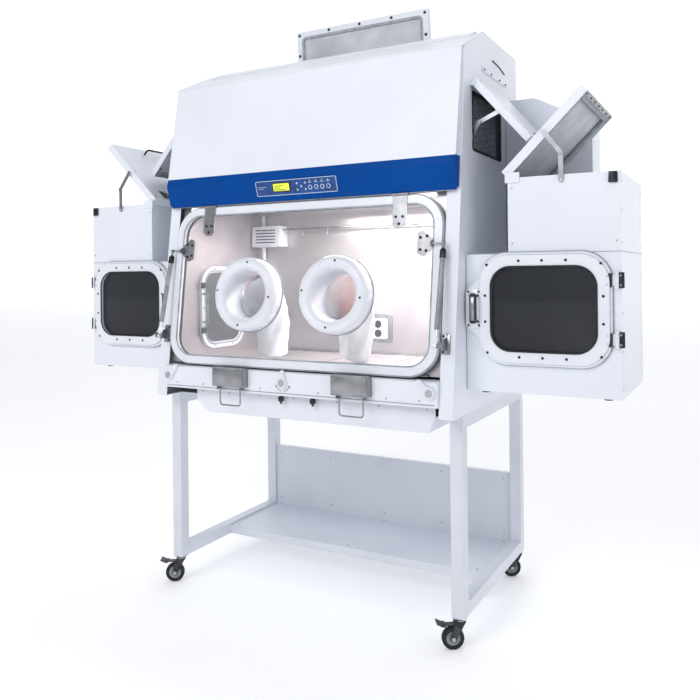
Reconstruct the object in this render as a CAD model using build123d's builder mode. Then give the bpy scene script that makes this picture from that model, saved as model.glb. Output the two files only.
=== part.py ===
"""Laboratory glove box: a two-glove isolator with a pass chamber on each side, on a wheeled stand.

Millimetres. X runs across the front, Y from the front to the back, +Z is up. The origin is on the
floor, midway across and at mid-depth of the whole machine. Window, latches and pass doors are shut,
and the top hatch, the pass chamber lids and the side covers stand open, as they do for servicing.
"""
from build123d import *
from math import atan2, cos, degrees, radians, sin
import os

os.makedirs("parts", exist_ok=True)

# ---------------------------------------------------------------- driving dimensions
width = 1270.0            # across the side walls, and across the stand
stand_depth = 730.0
stand_top = 790.0         # height at which the cabinet sits
sill_rise = 124.0         # from the stand's top to the top of the front ledge
window_rise = 637.0       # from the front ledge to the head of the window bay
brow_rise = 113.0         # height of the blue fascia
hood_rise = 382.0         # from the fascia to the top edge of the hood's front
ridge_rise = 100.0        # rise of the hood's sloped plate

skin = 2.0                # sheet thickness
gap = 0.4                 # between neighbouring pieces that don't touch
run = 0.05                # radial clearance of a pin in its hole

# ---------------------------------------------------------------- stand and casters
leg = 45.0                # square tube
tube_wall = 2.5
caster_height = 107.0     # floor to the foot of a leg
plug = 8.0                # plate that closes a leg's foot
shelf_setback = 326.0     # from the front of the stand to the front of the shelf
shelf_lip = 35.0
panel_height = 286.0      # panel between the rear legs
panel_flange = 26.0

wheel_r = 38.0
wheel_width = 22.0
wheel_trail = 26.0        # from the swivel axis to the axle
caster_heading = 212.0    # degrees, the way the wheels trail at rest
cheek = 3.0               # fork sheet
cheek_gap = 1.5           # wheel to fork, each side
stem_r = 6.0
axle_r = 4.0
pedal_pin_r = 2.5
pin_r = 2.5               # pins of the window, the hatch and the inner doors

# ---------------------------------------------------------------- cabinet
wall = 50.0               # depth of the folded side walls, which are also the front posts
foot_reach = 88.0         # how far the posts' feet stand in front of the stand
head_set = 10.0           # how far the head of the window bay stands behind the stand's front
brow_set = 22.0
crest_set = 62.0
ridge_set = 258.0
rear_set = 50.0           # from the back of the stand forward to the back of the cabinet
ledge_reach = 95.0        # front of the ledge, in front of the stand
ledge_height = 87.0
ledge_depth = 55.0

chamber_back_set = 170.0  # from the back of the stand forward to the chamber's back wall
floor_rise = 11.0         # chamber floor above the top of the front ledge
window_seat = 34.0        # from the window's front face to the face of the chamber's front flange

pan_drop = 57.0           # under the cabinet floor
pan_left, pan_right = -458.0, 560.0
pan_slope_left, pan_slope_right = 58.0, 28.0
pan_reach = 50.0

passage_width = 250.0     # opening in each side wall, front to back
passage_height = 310.0
passage_r = 62.0
passage_set = 262.0       # its middle, behind the stand's front
passage_z = 1132.0
passage_flange = 22.0     # width of the inner door's rim outside the opening

service_front, service_rear = 130.0, 455.0      # side service opening, behind the stand's front
service_low, service_high = 1700.0, 1905.0
service_r = 10.0

hatch_width = 640.0
hatch_length = 212.0
hatch_thick = 26.0
hatch_hinge_set = 517.0   # hinge line, behind the stand's front
hatch_open = 86.0         # degrees open at rest

# ---------------------------------------------------------------- window and its fittings
window_margin = 7.0       # clear of the posts, each side
window_head_gap = 12.0
window_height = 620.0     # up the rake
window_proud = 12.0       # front face in front of the posts
window_thick = 20.0
window_r = 110.0
window_rim = 28.0
glass_thick = 8.0
port_x = 190.0
port_drop = 362.0         # port centres below the head of the bay, down the rake
port_hole_r = 100.0
port_outer_r = 140.0
port_inner_r = 88.0
port_proud = 62.0
sleeve_foot = ((-229.0, 140.0), (133.0, 189.0))      # where each sleeve rests: x, behind the front
sleeve_top_r, sleeve_foot_r = 80.0, 58.0
strap_x = 418.0
strap_width = 54.0
strap_length = 118.0

strut_inset = 45.0        # strut plane, in from the side wall's outer face
strut_foot_reach = 119.0
strut_foot_z = 1035.0
strut_head_reach = 37.0
strut_head_z = 1370.0
strut_tube_r = 9.0
strut_rod_r = 4.0
strut_tube_length = 292.0
strut_neck = 30.0         # slim end of the tube, under its eye

lever_thick = 12.0
lever_r = 20.0
lever_tip_r = 9.0
lever_reach = 37.0        # pivot to tip of the middle lever
lever_side_reach = 51.0
lever_inset = 76.0        # side levers, in from the side wall's outer face
lever_middle = -19.0
lever_pin_r = 5.0
clamp_size = (146.0, 30.0, 74.0)
clamp_x = (-248.0, 272.0)
bail_width = 94.0
bail_drop = 66.0
bail_r = 3.0

# ---------------------------------------------------------------- pass chambers
box_width = 501.0
box_gap = 2.0             # to the side wall
box_front_set = 48.5
box_depth = 469.5
box_low, box_seam, box_high = 872.0, 1332.0, 1581.0
housing_step = 146.0      # the upper housing stands this far off, leaving room for the side cover
door_width = 428.0
door_height = 368.0
door_r = 96.0
door_x = 263.0            # door centre, from the side wall
door_z = 1150.0
door_thick = 12.0
door_gap = 3.0
door_rim = 37.0           # raised rim round the door's glass
door_rim_proud = 7.0
door_glass_width = 341.0
door_glass_height = 278.0
door_glass_r = 67.0
nose_width = 48.0
nose_height = 165.0
door_hinge_reach = 12.0
handle_height = 134.0
handle_thick = 10.0

lid_length = 366.0
lid_thick = 30.0
lid_open = 45.0
lid_lift = 5.0            # underside below the hinge line
lid_hinge_rise = 9.0      # hinge line above the housing
lid_stay_foot = (175.0, -18.0)       # from the housing's corner: out, up
lid_stay_low = 88.0       # lower link, pivot to pivot
lid_stay_grip = (177.0, 10.0)        # on the lid: along it, above the hinge line

cover_length = 292.0
cover_thick = 26.0
cover_front, cover_rear = 112.0, 482.0
cover_hinge_z = 1928.0
cover_open = 41.0
cover_pin_off = 13.0      # hinge line of the cover, off the wall
cover_pin_place = (5.0, 8.0)         # the same line: down from the cover's edge, out of its inner face
lid_pin_r = 4.0           # pins of the lids and the service covers
cover_stay_set = 136.0    # plane of the lower link, behind the stand's front
cover_stay_foot = (-8.0, 1745.0)     # off the wall's outer face, height
cover_stay_mid = (22.0, 1796.0)
cover_stay_grip = (135.0, 3.0)       # down the cover from its hinge, out of its inner face

link_thick = 3.0
link_width = 15.0
link_pin_r = 3.0
duct_low, duct_high = 1345.0, 1947.0
duct_reach, duct_shoulder, duct_chamfer = 330.0, 114.0, 50.0

# ---------------------------------------------------------------- places that follow from these
half = width / 2
front = 65.0 - stand_depth / 2
back = front + stand_depth
sill_z = stand_top + sill_rise
head_z = sill_z + window_rise
brow_z = head_z + brow_rise
crest_z = brow_z + hood_rise
top_z = crest_z + ridge_rise
cabinet_rear = back - rear_set
inner = half - wall                       # inner face of the side walls
rake = atan2(foot_reach + head_set, head_z - stand_top)
chamber_back = back - chamber_back_set
floor_z = sill_z + floor_rise

foot = (front - foot_reach, stand_top)
head = (front + head_set, head_z)
side_outline = [foot, head, (front + brow_set, brow_z), (front + crest_set, crest_z),
                (front + ridge_set, top_z), (cabinet_rear, top_z), (cabinet_rear, stand_top)]


def rake_plane(drop, proud, x=0.0):
    """Plane parallel to the window: drop is down the rake from its head, proud is outwards."""
    y = head[0] - drop * sin(rake) - proud * cos(rake)
    z = head[1] - drop * cos(rake) + proud * sin(rake)
    return Plane(origin=(x, y, z), x_dir=(1, 0, 0), z_dir=(0, -cos(rake), sin(rake)))


def rake_y(z, proud=0.0):
    """Y of the raked plane at height z, proud of the posts."""
    return head[0] - (head[1] - z) * sin(rake) / cos(rake) - proud / cos(rake)


def finish(builder, name):
    """Label a finished piece and write it."""
    builder.part.label = name
    export_step(builder.part, f"parts/{name}.step")


CENTRE_LOW = (Align.CENTER, Align.CENTER, Align.MIN)
SIDES = (("left", -1), ("right", 1))

# ================================================================ stand
leg_x = half - leg / 2
leg_front, leg_rear = front + leg / 2, back - leg / 2
leg_spots = [(x, y) for y in (leg_front, leg_rear) for x in (-leg_x, leg_x)]
bore = leg - 2 * tube_wall
rail_low = (caster_height, stand_top - leg)

with BuildPart() as stand_frame:
    with Locations(*[(x, y, caster_height) for x, y in leg_spots]):
        Box(leg, leg, stand_top - caster_height, align=CENTRE_LOW)
    with Locations(*[(x, (front + back) / 2, z) for x in (-leg_x, leg_x) for z in rail_low]):
        Box(leg, stand_depth - leg, leg, align=CENTRE_LOW)
    with Locations((0, leg_rear, rail_low[1])):
        Box(width - leg, leg, leg, align=CENTRE_LOW)
    # the tubes are hollow, and their bores meet in the corners
    with Locations(*[(x, y, caster_height + plug) for x, y in leg_spots]):
        Box(bore, bore, stand_top - caster_height - plug - tube_wall, align=CENTRE_LOW,
            mode=Mode.SUBTRACT)
    with Locations(*[(x, (front + back) / 2, z + tube_wall + (plug if z == caster_height else 0))
                     for x in (-leg_x, leg_x) for z in rail_low]):
        Box(bore, stand_depth - leg, bore - plug, align=CENTRE_LOW, mode=Mode.SUBTRACT)
    with Locations((0, leg_rear, rail_low[1] + tube_wall)):
        Box(width - leg, bore, bore, align=CENTRE_LOW, mode=Mode.SUBTRACT)
    # hole for the caster's stem in each foot
    with Locations(*[(x, y, caster_height) for x, y in leg_spots]):
        Cylinder(stem_r + run, plug, align=CENTRE_LOW, mode=Mode.SUBTRACT)
finish(stand_frame, "stand_frame")

shelf_width = width - 2 * leg
panel_face = leg_rear - leg / 4                         # the shelf ends against the panel
shelf_depth = panel_face - front - shelf_setback
shelf_mid = panel_face - shelf_depth / 2
with BuildPart() as stand_shelf:
    with Locations((0, shelf_mid, caster_height)):
        Box(shelf_width, shelf_depth, shelf_lip, align=CENTRE_LOW)
        Box(shelf_width - 2 * skin, shelf_depth - 2 * skin, shelf_lip - skin, align=CENTRE_LOW,
            mode=Mode.SUBTRACT)
finish(stand_shelf, "stand_shelf")

panel_top = caster_height + shelf_lip + panel_height
with BuildPart() as stand_panel:
    with Locations((0, panel_face, caster_height)):
        Box(shelf_width, skin, panel_top - caster_height, align=(Align.CENTER, Align.MIN, Align.MIN))
    with Locations((0, panel_face, panel_top - skin)):
        Box(shelf_width, panel_flange, skin, align=(Align.CENTER, Align.MIN, Align.MIN))
finish(stand_panel, "stand_panel")

# ================================================================ casters
trail = Vector(cos(radians(caster_heading)), sin(radians(caster_heading)), 0)
across = Vector(trail.Y, -trail.X, 0)
fork_inner = wheel_width / 2 + cheek_gap
crown_z = 91.0
crown = 5.0
pedal_pivot = (8.0, 85.0)                 # along the trail, height
pedal_reach = 84.0

caster_names = ("front_left", "front_right", "rear_left", "rear_right")
for (x, y), name in zip(leg_spots, caster_names):
    upright = Plane(origin=(x, y, 0), x_dir=trail, z_dir=across)
    with BuildPart() as caster_fork:
        for low in (-fork_inner - cheek, fork_inner):
            with BuildSketch(upright.offset(low)):
                with Locations((wheel_trail, wheel_r)):
                    Circle(axle_r + 7)
                with BuildLine():
                    Polyline((-17, crown_z + crown), (20, crown_z + crown),
                             (wheel_trail + 11, wheel_r), (wheel_trail - 11, wheel_r), close=True)
                make_face()
            extrude(amount=cheek)
        with BuildSketch(Plane(origin=(x, y, crown_z), x_dir=trail, z_dir=(0, 0, 1))):
            with Locations((1.5, 0)):
                RectangleRounded(37, 2 * (fork_inner + cheek), 5)
        extrude(amount=crown)
        with Locations((x, y, crown_z + crown)):
            Cylinder(17, caster_height - crown_z - crown - gap, align=CENTRE_LOW)
            Cylinder(stem_r, caster_height - crown_z - crown + plug + 6, align=CENTRE_LOW)
        with BuildSketch(upright.offset(-fork_inner - cheek - 2)):
            with Locations((wheel_trail, wheel_r)):
                Circle(axle_r)
        extrude(amount=2 * (fork_inner + cheek + 2))
        if name.startswith("front"):
            with BuildSketch(upright.offset(-fork_inner)):
                with Locations(pedal_pivot):
                    Circle(pedal_pin_r)
            extrude(amount=2 * fork_inner)
    finish(caster_fork, f"caster_fork_{name}")

    with BuildPart() as caster_wheel:
        with BuildSketch(upright.offset(-wheel_width / 2)):
            with Locations((wheel_trail, wheel_r)):
                Circle(wheel_r)
        extrude(amount=wheel_width)
        fillet(caster_wheel.edges().filter_by(GeomType.CIRCLE), 4)
        for plane in (upright.offset(-wheel_width / 2), upright.offset(wheel_width / 2 - 4)):
            with BuildSketch(plane):
                with Locations((wheel_trail, wheel_r)):
                    Circle(wheel_r - 13)
                    Circle(axle_r + 6, mode=Mode.SUBTRACT)
            extrude(amount=4, mode=Mode.SUBTRACT)
        with BuildSketch(upright.offset(-wheel_width / 2)):
            with Locations((wheel_trail, wheel_r)):
                Circle(axle_r + run)
        extrude(amount=wheel_width, mode=Mode.SUBTRACT)
    finish(caster_wheel, f"caster_wheel_{name}")

    if name.startswith("front"):
        with BuildPart() as caster_pedal:
            with BuildSketch(upright.offset(-fork_inner + 1)):
                with Locations(pedal_pivot):
                    Circle(pedal_pin_r + 2.5)
                with BuildLine():
                    Polyline((pedal_pivot[0], pedal_pivot[1] + 2.5), (pedal_pivot[0], 82),
                             (pedal_reach - 20, 82), (pedal_reach, 92), (pedal_reach - 1, 95),
                             (pedal_reach - 22, 86), (46, 86), (30, 86), close=True)
                make_face()
                with Locations(pedal_pivot):
                    Circle(pedal_pin_r + run, mode=Mode.SUBTRACT)
            extrude(amount=2 * (fork_inner - 1))
            with BuildSketch(upright.offset(-21)):
                with BuildLine():
                    Polyline((pedal_reach - 32, 82), (pedal_reach - 20, 82), (pedal_reach, 92),
                             (pedal_reach - 1, 95), (pedal_reach - 22, 86),
                             (pedal_reach - 32, 86), close=True)
                make_face()
            extrude(amount=42)
        finish(caster_pedal, f"caster_pedal_{name}")

# ================================================================ cabinet shell
passage_y = front + passage_set
service_y = front + (service_front + service_rear) / 2
service_z = (service_low + service_high) / 2
deck_z = head_z + 9
beam = 60.0

with BuildPart() as cabinet_shell:
    for name, s in SIDES:
        # folded side wall: outer sheet with returns all round, open towards the chamber
        with BuildSketch(Plane.YZ.offset(s * half)):
            with BuildLine():
                Polyline(*side_outline, close=True)
            make_face()
        extrude(amount=-s * wall)
        with BuildSketch(Plane.YZ.offset(s * (half - skin))):
            with BuildLine():
                Polyline(*side_outline, close=True)
            make_face()
            offset(amount=-skin, kind=Kind.INTERSECTION)
        extrude(amount=-s * (wall - skin), mode=Mode.SUBTRACT)
        # collar of the passage into the pass chamber
        with BuildSketch(Plane.YZ.offset(s * half)):
            with Locations((passage_y, passage_z)):
                RectangleRounded(passage_width + 2 * skin, passage_height + 2 * skin,
                                 passage_r + skin)
        extrude(amount=-s * wall)
        with BuildSketch(Plane.YZ.offset(s * half)):
            with Locations((passage_y, passage_z)):
                RectangleRounded(passage_width, passage_height, passage_r)
            with Locations((service_y, service_z)):
                RectangleRounded(service_rear - service_front, service_high - service_low,
                                 service_r)
        extrude(amount=-s * wall, mode=Mode.SUBTRACT)
    for name, s in SIDES:
        # ears and pins that carry the service cover, beyond its ends
        for y, d in ((front + cover_front, -1), (front + cover_rear, 1)):
            with Locations((s * (half + cover_pin_off / 2), y + d * (gap + 3), cover_hinge_z)):
                Box(cover_pin_off + 12, 5, 16)
            with Locations(Location((s * (half + cover_pin_off), y, cover_hinge_z), (90, 0, 0))):
                Cylinder(lid_pin_r, 11)
        # tab and pin for the cover's stay, in the mouth of the service opening
        stay_x, stay_z = half + cover_stay_foot[0], cover_stay_foot[1]
        with Locations((s * stay_x, front + service_front, stay_z)):
            Box(18, 8, 18)
        with Locations(Location((s * stay_x, front + service_front + 4, stay_z), (90, 0, 0))):
            Cylinder(link_pin_r, 2 * (cover_stay_set + link_thick - service_front - 4))
    # floor, back, deck over the chamber and the beams under the hood, between the side walls
    with Locations((0, (front + cabinet_rear) / 2, stand_top)):
        Box(2 * inner + skin, cabinet_rear - front, skin, align=CENTRE_LOW)
    with Locations((0, cabinet_rear - skin / 2, stand_top)):
        Box(2 * inner + skin, skin, top_z - stand_top, align=CENTRE_LOW)
    with Locations((0, (front + brow_set + cabinet_rear) / 2, deck_z)):
        Box(2 * inner + skin, cabinet_rear - front - brow_set, skin, align=CENTRE_LOW)
    with Locations((0, front + ridge_set + beam / 2, top_z - skin)):
        Box(2 * inner + skin, beam, skin, align=CENTRE_LOW)
finish(cabinet_shell, "cabinet_shell")

# ================================================================ chamber liner
liner_half = inner - 1.0
inner_thick = 14.0
inner_face = liner_half - skin - 1.0
inner_width = passage_width + 2 * passage_flange
inner_height = passage_height + 2 * passage_flange
inner_axis = (inner_face - inner_thick / 2, passage_y + inner_width / 2 + 10)
inner_hinges = (passage_z - 90, passage_z + 90)
seat = window_proud - window_seat                       # flange face, from the posts' plane
liner_front = [(rake_y(floor_z - skin, seat), floor_z - skin),
               (rake_y(head_z - gap, seat), head_z - gap)]
with BuildPart() as chamber_liner:
    with BuildSketch(Plane.YZ.offset(-liner_half)):
        with BuildLine():
            Polyline(liner_front[0], liner_front[1], (chamber_back, head_z - gap),
                     (chamber_back, floor_z - skin), close=True)
        make_face()
    extrude(amount=2 * liner_half)
    with BuildSketch(Plane.YZ.offset(-liner_half + skin)):
        with BuildLine():
            Polyline(liner_front[0], liner_front[1], (chamber_back, head_z - gap),
                     (chamber_back, floor_z - skin), close=True)
        make_face()
        offset(amount=-skin, kind=Kind.INTERSECTION)
    extrude(amount=2 * (liner_half - skin), mode=Mode.SUBTRACT)
    # window opening in the front flange
    with BuildSketch(rake_plane(window_head_gap + window_height / 2, seat + skin)):
        RectangleRounded(2 * (inner - window_margin - window_rim), window_height - 2 * window_rim,
                         window_r - window_rim)
    extrude(amount=-3 * skin, mode=Mode.SUBTRACT)
    for name, s in SIDES:
        with BuildSketch(Plane.YZ.offset(s * liner_half)):
            with Locations((passage_y, passage_z)):
                RectangleRounded(passage_width, passage_height, passage_r)
        extrude(amount=-s * 2 * skin, mode=Mode.SUBTRACT)
        # lugs and pins of the inner door's two hinges
        for z in inner_hinges:
            with Locations(*[(s * (inner_axis[0] + 4), inner_axis[1], z + d * (15 + gap + 2))
                             for d in (-1, 1)]):
                Box(2 * inner_thick - 6, 12, 4)
            with Locations((s * inner_axis[0], inner_axis[1], z)):
                Cylinder(pin_r, 2 * (15 + gap + 4))
finish(chamber_liner, "chamber_liner")

# ================================================================ front ledge and pan
ledge_front = front - ledge_reach
ledge_half = inner - gap
ledge_low = sill_z - ledge_height
lever_z = sill_z - 39.0
lever_spots = [(-half + lever_inset, lever_z), (lever_middle, lever_z), (half - lever_inset, lever_z)]
with BuildPart() as front_ledge:
    with BuildSketch(Plane.YZ.offset(-ledge_half)):
        with BuildLine():
            Polyline((ledge_front, ledge_low), (ledge_front, sill_z - 4), (ledge_front + 8, sill_z),
                     (ledge_front + ledge_depth, sill_z), (ledge_front + ledge_depth, ledge_low),
                     close=True)
        make_face()
    extrude(amount=2 * ledge_half)
    with Locations((0, ledge_front + ledge_depth / 2 + 3, ledge_low)):
        Box(2 * (ledge_half - skin), ledge_depth - 2 * skin - 6, ledge_height - 3 * skin,
            align=CENTRE_LOW, mode=Mode.SUBTRACT)
    # holes for the pins of the three latch levers
    with Locations(*[Location((x, ledge_front, z), (90, 0, 0)) for x, z in lever_spots]):
        Cylinder(lever_pin_r + run, 8 * skin, mode=Mode.SUBTRACT)
finish(front_ledge, "front_ledge")

pan_front = front - pan_reach
pan_low = stand_top - pan_drop
pan_rear = back - leg - 60.0
with BuildPart() as under_pan:
    with BuildSketch(Plane.XZ.offset(-pan_front)):
        with BuildLine():
            Polyline((pan_left, stand_top - gap), (pan_left, pan_low + 44),
                     (pan_left + pan_slope_left, pan_low), (pan_right - pan_slope_right, pan_low),
                     (pan_right, stand_top - gap), close=True)
        make_face()
    extrude(amount=-(pan_rear - pan_front))
    with BuildSketch(Plane.XZ.offset(-pan_front - skin)):
        with BuildLine():
            Polyline((pan_left + skin, stand_top), (pan_left + skin, pan_low + 44 + skin),
                     (pan_left + pan_slope_left + skin, pan_low + skin),
                     (pan_right - pan_slope_right - skin, pan_low + skin),
                     (pan_right - skin, stand_top), close=True)
        make_face()
    extrude(amount=-(pan_rear - pan_front - 2 * skin), mode=Mode.SUBTRACT)
    # its front plate rises behind the ledge
    with Locations(((pan_left + pan_right) / 2, pan_front, stand_top - 2 * skin)):
        Box(pan_right - pan_left, skin, ledge_low - stand_top + 2 * skin - gap,
            align=(Align.CENTER, Align.MIN, Align.MIN))
finish(under_pan, "under_pan")

# ================================================================ hood, fascia and control panel
hood_half = half - 7.0
fascia_half = hood_half
brow_front = front - 18.0
crest_front = front + 50.0
front_line = [(brow_front, brow_z + gap), (crest_front, crest_z)]
with BuildPart() as hood_front:
    with BuildSketch(Plane.YZ.offset(-hood_half)):
        with BuildLine():
            Polyline(*front_line, (front + crest_set - gap, crest_z),
                     (front + brow_set - gap, brow_z + gap), close=True)
        make_face()
    extrude(amount=2 * hood_half)
    with BuildSketch(Plane.YZ.offset(-hood_half + skin)):
        with BuildLine():
            Polyline((brow_front + skin + 1, brow_z + skin + gap),
                     (crest_front + skin, crest_z - skin),
                     (front + crest_set + 5, crest_z - skin),
                     (front + brow_set + 5, brow_z + skin + gap), close=True)
        make_face()
    extrude(amount=2 * (hood_half - skin), mode=Mode.SUBTRACT)
finish(hood_front, "hood_front")

hatch_hinge_y = front + hatch_hinge_set
hatch_rim = 24.0
hatch_hole = (hatch_width - 2 * hatch_rim, hatch_length - 2 * hatch_rim)
hatch_hole_y = hatch_hinge_y - hatch_length / 2
hatch_barrel_r = 6.0
hatch_barrel = hatch_width - 40.0
hatch_axis = (hatch_hinge_y, top_z + skin + gap + hatch_barrel_r + 1)
strip_proud = 5.0
with BuildPart() as hood_top:
    with BuildSketch(Plane.YZ.offset(-half)):
        with BuildLine():
            Polyline((crest_front, crest_z + gap), (front + crest_set, crest_z + gap),
                     (front + ridge_set, top_z + gap), (cabinet_rear, top_z + gap),
                     (cabinet_rear, top_z + skin + gap), (front + ridge_set - 1, top_z + skin + gap),
                     (crest_front, crest_z + skin + gap + 2), close=True)
        make_face()
    extrude(amount=width)
    # raised strip along the ridge
    with BuildSketch(Plane.YZ.offset(-half + 55)):
        with BuildLine():
            Polyline((front + ridge_set - 60, top_z - 30 + skin), (front + ridge_set - 2, top_z + skin),
                     (front + ridge_set + 30, top_z + skin),
                     (front + ridge_set + 30, top_z + skin + strip_proud),
                     (front + ridge_set - 4, top_z + skin + strip_proud),
                     (front + ridge_set - 62, top_z - 30 + skin + strip_proud), close=True)
        make_face()
    extrude(amount=width - 80)
    with BuildSketch(Plane.XY.offset(top_z)):
        with Locations((0, hatch_hole_y)):
            RectangleRounded(*hatch_hole, 24)
    extrude(amount=3 * skin, mode=Mode.SUBTRACT)
    # lugs and pins of the hatch's hinge, beyond the ends of its barrel
    for name, s in SIDES:
        with Locations((s * (hatch_barrel / 2 + 1 + 4), hatch_axis[0] + 2, top_z + skin)):
            Box(8, 14, hatch_axis[1] - top_z - skin + 5, align=CENTRE_LOW)
        with Locations(Location((s * (hatch_barrel / 2 - 3), *hatch_axis), (0, 90, 0))):
            Cylinder(pin_r, 22)
finish(hood_top, "hood_top")

bevel_z = brow_z - 27.0
fascia_front = front - 26.0
fascia_line = [(brow_front, brow_z), (fascia_front, bevel_z), (front - 3, head_z - 2)]
with BuildPart() as fascia:
    with BuildSketch(Plane.YZ.offset(-fascia_half)):
        with BuildLine():
            Polyline(*fascia_line, (front + head_set - gap, head_z - 2),
                     (front + head_set - gap, head_z), (front + brow_set - gap, brow_z), close=True)
        make_face()
    extrude(amount=2 * fascia_half)
    # the lower corners are rounded
    low_corners = fascia.edges().filter_by(lambda e: abs(e.center().Z - head_z + 2) < 1
                                           and abs(abs(e.center().X) - fascia_half) < 1)
    fillet(low_corners, 18)
    with BuildSketch(Plane.YZ.offset(-fascia_half + 3)):
        with BuildLine():
            Polyline((brow_front + 4, brow_z - 3), (fascia_front + 3, bevel_z), (front + 0, head_z + 2),
                     (front + head_set + 5, head_z + 2), (front + brow_set + 5, brow_z - 3), close=True)
        make_face()
    extrude(amount=2 * (fascia_half - 3), mode=Mode.SUBTRACT)
finish(fascia, "fascia")

face_slope = atan2((front - 3) - fascia_front, bevel_z - head_z + 2)
panel_lift = 6.0          # above the middle of the sloped face
panel_mid = (-5.0, (fascia_front + front - 3) / 2 - panel_lift * sin(face_slope),
             (bevel_z + head_z - 2) / 2 + panel_lift * cos(face_slope))
panel_size = (356.0, 58.0)
with BuildPart() as control_panel:
    with BuildSketch(Plane(origin=panel_mid, x_dir=(1, 0, 0),
                           z_dir=(0, -cos(face_slope), -sin(face_slope))).offset(gap)):
        RectangleRounded(*panel_size, 6)
    extrude(amount=1.6)
finish(control_panel, "control_panel")

# ================================================================ filters and fans
hepa_high = 70.0
fan_r, fan_high = 130.0, 150.0
with BuildPart() as filters_and_fans:
    with Locations((0, (front + brow_set + cabinet_rear) / 2, deck_z + skin + gap)):
        Box(2 * inner - 60, 420, hepa_high, align=CENTRE_LOW)
    with Locations((0, hatch_hole_y, top_z - 150)):
        Box(hatch_hole[0] - 20, hatch_hole[1] - 8, 138, align=CENTRE_LOW)
    with Locations(*[(x, passage_y + 90, deck_z + hepa_high + 60) for x in (-260, 260)]):
        Cylinder(fan_r, fan_high, align=CENTRE_LOW)
    # coarse filters just inside the side service openings, clear of the cover stays
    for name, s in SIDES:
        with Locations((s * (inner + 17), front + (service_rear + cover_stay_set + 30) / 2, service_z)):
            Box(30, service_rear - cover_stay_set - 30, service_high - service_low - 4)
finish(filters_and_fans, "filters_and_fans")

# ================================================================ fittings on the cabinet's front
strut_x = half - strut_inset
strut_foot = (front - strut_foot_reach, strut_foot_z)
strut_head = (front - strut_head_reach, strut_head_z)
hinge_drop, hinge_proud = 8.0, window_proud + 4.0
hinge_axis = rake_plane(hinge_drop, hinge_proud).origin
knuckle_r = 5.0
strut_eye = 10.0          # width of the eye at each end of a strut
clamp_low = sill_z - 64.0
bail_z = clamp_low - 6.0
bail_y = ledge_front - clamp_size[1] / 2
lug = 3.0

with BuildPart() as front_fittings:
    for x in clamp_x:
        with Locations((x, bail_y, clamp_low)):
            Box(*clamp_size[:2], clamp_size[2] - 4, align=CENTRE_LOW)
            Box(clamp_size[0] - 5, clamp_size[1] - 5, clamp_size[2] - 7, align=CENTRE_LOW,
                mode=Mode.SUBTRACT)
        # two lugs carry the bail
        with Locations(*[(x + d * (bail_width / 2 + bail_r + 1 + lug / 2), bail_y, bail_z - 6)
                         for d in (-1, 1)]):
            Box(lug, clamp_size[1] - 4, clamp_low - bail_z + 12, align=CENTRE_LOW)
        with Locations(Location((x, bail_y, bail_z), (0, 90, 0))):
            Cylinder(bail_r + run, bail_width + 40, mode=Mode.SUBTRACT)
    for name, s in SIDES:
        # foot bracket of the window strut: an arm off the post with a pin for the rod's eye
        with BuildSketch(Plane.YZ.offset(s * (strut_x + strut_tube_r + 3))):
            with BuildLine():
                Polyline((strut_foot[0] - 8, strut_foot[1] - 8), (strut_foot[0] - 8, strut_foot[1] + 8),
                         (rake_y(strut_foot_z + 22) - gap, strut_foot_z + 22),
                         (rake_y(strut_foot_z - 22) - gap, strut_foot_z - 22), close=True)
            make_face()
        extrude(amount=s * 4)
        with BuildSketch(Plane.YZ.offset(s * (strut_x + strut_tube_r + 3))):
            with Locations(strut_foot):
                Circle(3)
        extrude(amount=-s * (strut_tube_r + 10))
        # fixed half of the window hinge: two lugs joined by the pin
        for d in (-1, 1):
            with BuildSketch(Plane.YZ.offset(s * strap_x + d * (strap_width / 2 + 1) - 2 + d * 2)):
                with Locations((hinge_axis.Y, hinge_axis.Z)):
                    Circle(knuckle_r)
                with BuildLine():
                    Polyline((hinge_axis.Y - 4, hinge_axis.Z), (hinge_axis.Y + 4, head_z - 2 - gap),
                             (front + head_set - gap, head_z - 2 - gap),
                             (front + head_set - 4, head_z - 7), (hinge_axis.Y + 3, hinge_axis.Z - 3),
                             close=True)
                make_face()
            extrude(amount=4)
        with Locations(Location((s * strap_x, hinge_axis.Y, hinge_axis.Z), (0, 90, 0))):
            Cylinder(pin_r, strap_width + 8)
finish(front_fittings, "front_fittings")

# ================================================================ window
window_mid = window_head_gap + window_height / 2
window_half = inner - window_margin
window_face = rake_plane(window_mid, window_proud)
with BuildPart() as window_frame:
    with BuildSketch(window_face):
        RectangleRounded(2 * window_half, window_height, window_r)
        RectangleRounded(2 * (window_half - window_rim), window_height - 2 * window_rim,
                         window_r - window_rim, mode=Mode.SUBTRACT)
    extrude(amount=-window_thick)
finish(window_frame, "window_frame")

glass_set = 4.0                            # glass behind the rim's front
with BuildPart() as window_glass:
    with BuildSketch(rake_plane(window_mid, window_proud - glass_set)):
        RectangleRounded(2 * (window_half - window_rim) - gap, window_height - 2 * window_rim - gap,
                         window_r - window_rim)
        with Locations(*[(s * port_x, window_mid - port_drop) for name, s in SIDES]):
            Circle(port_hole_r, mode=Mode.SUBTRACT)
    extrude(amount=-glass_thick)
finish(window_glass, "window_glass")

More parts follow.
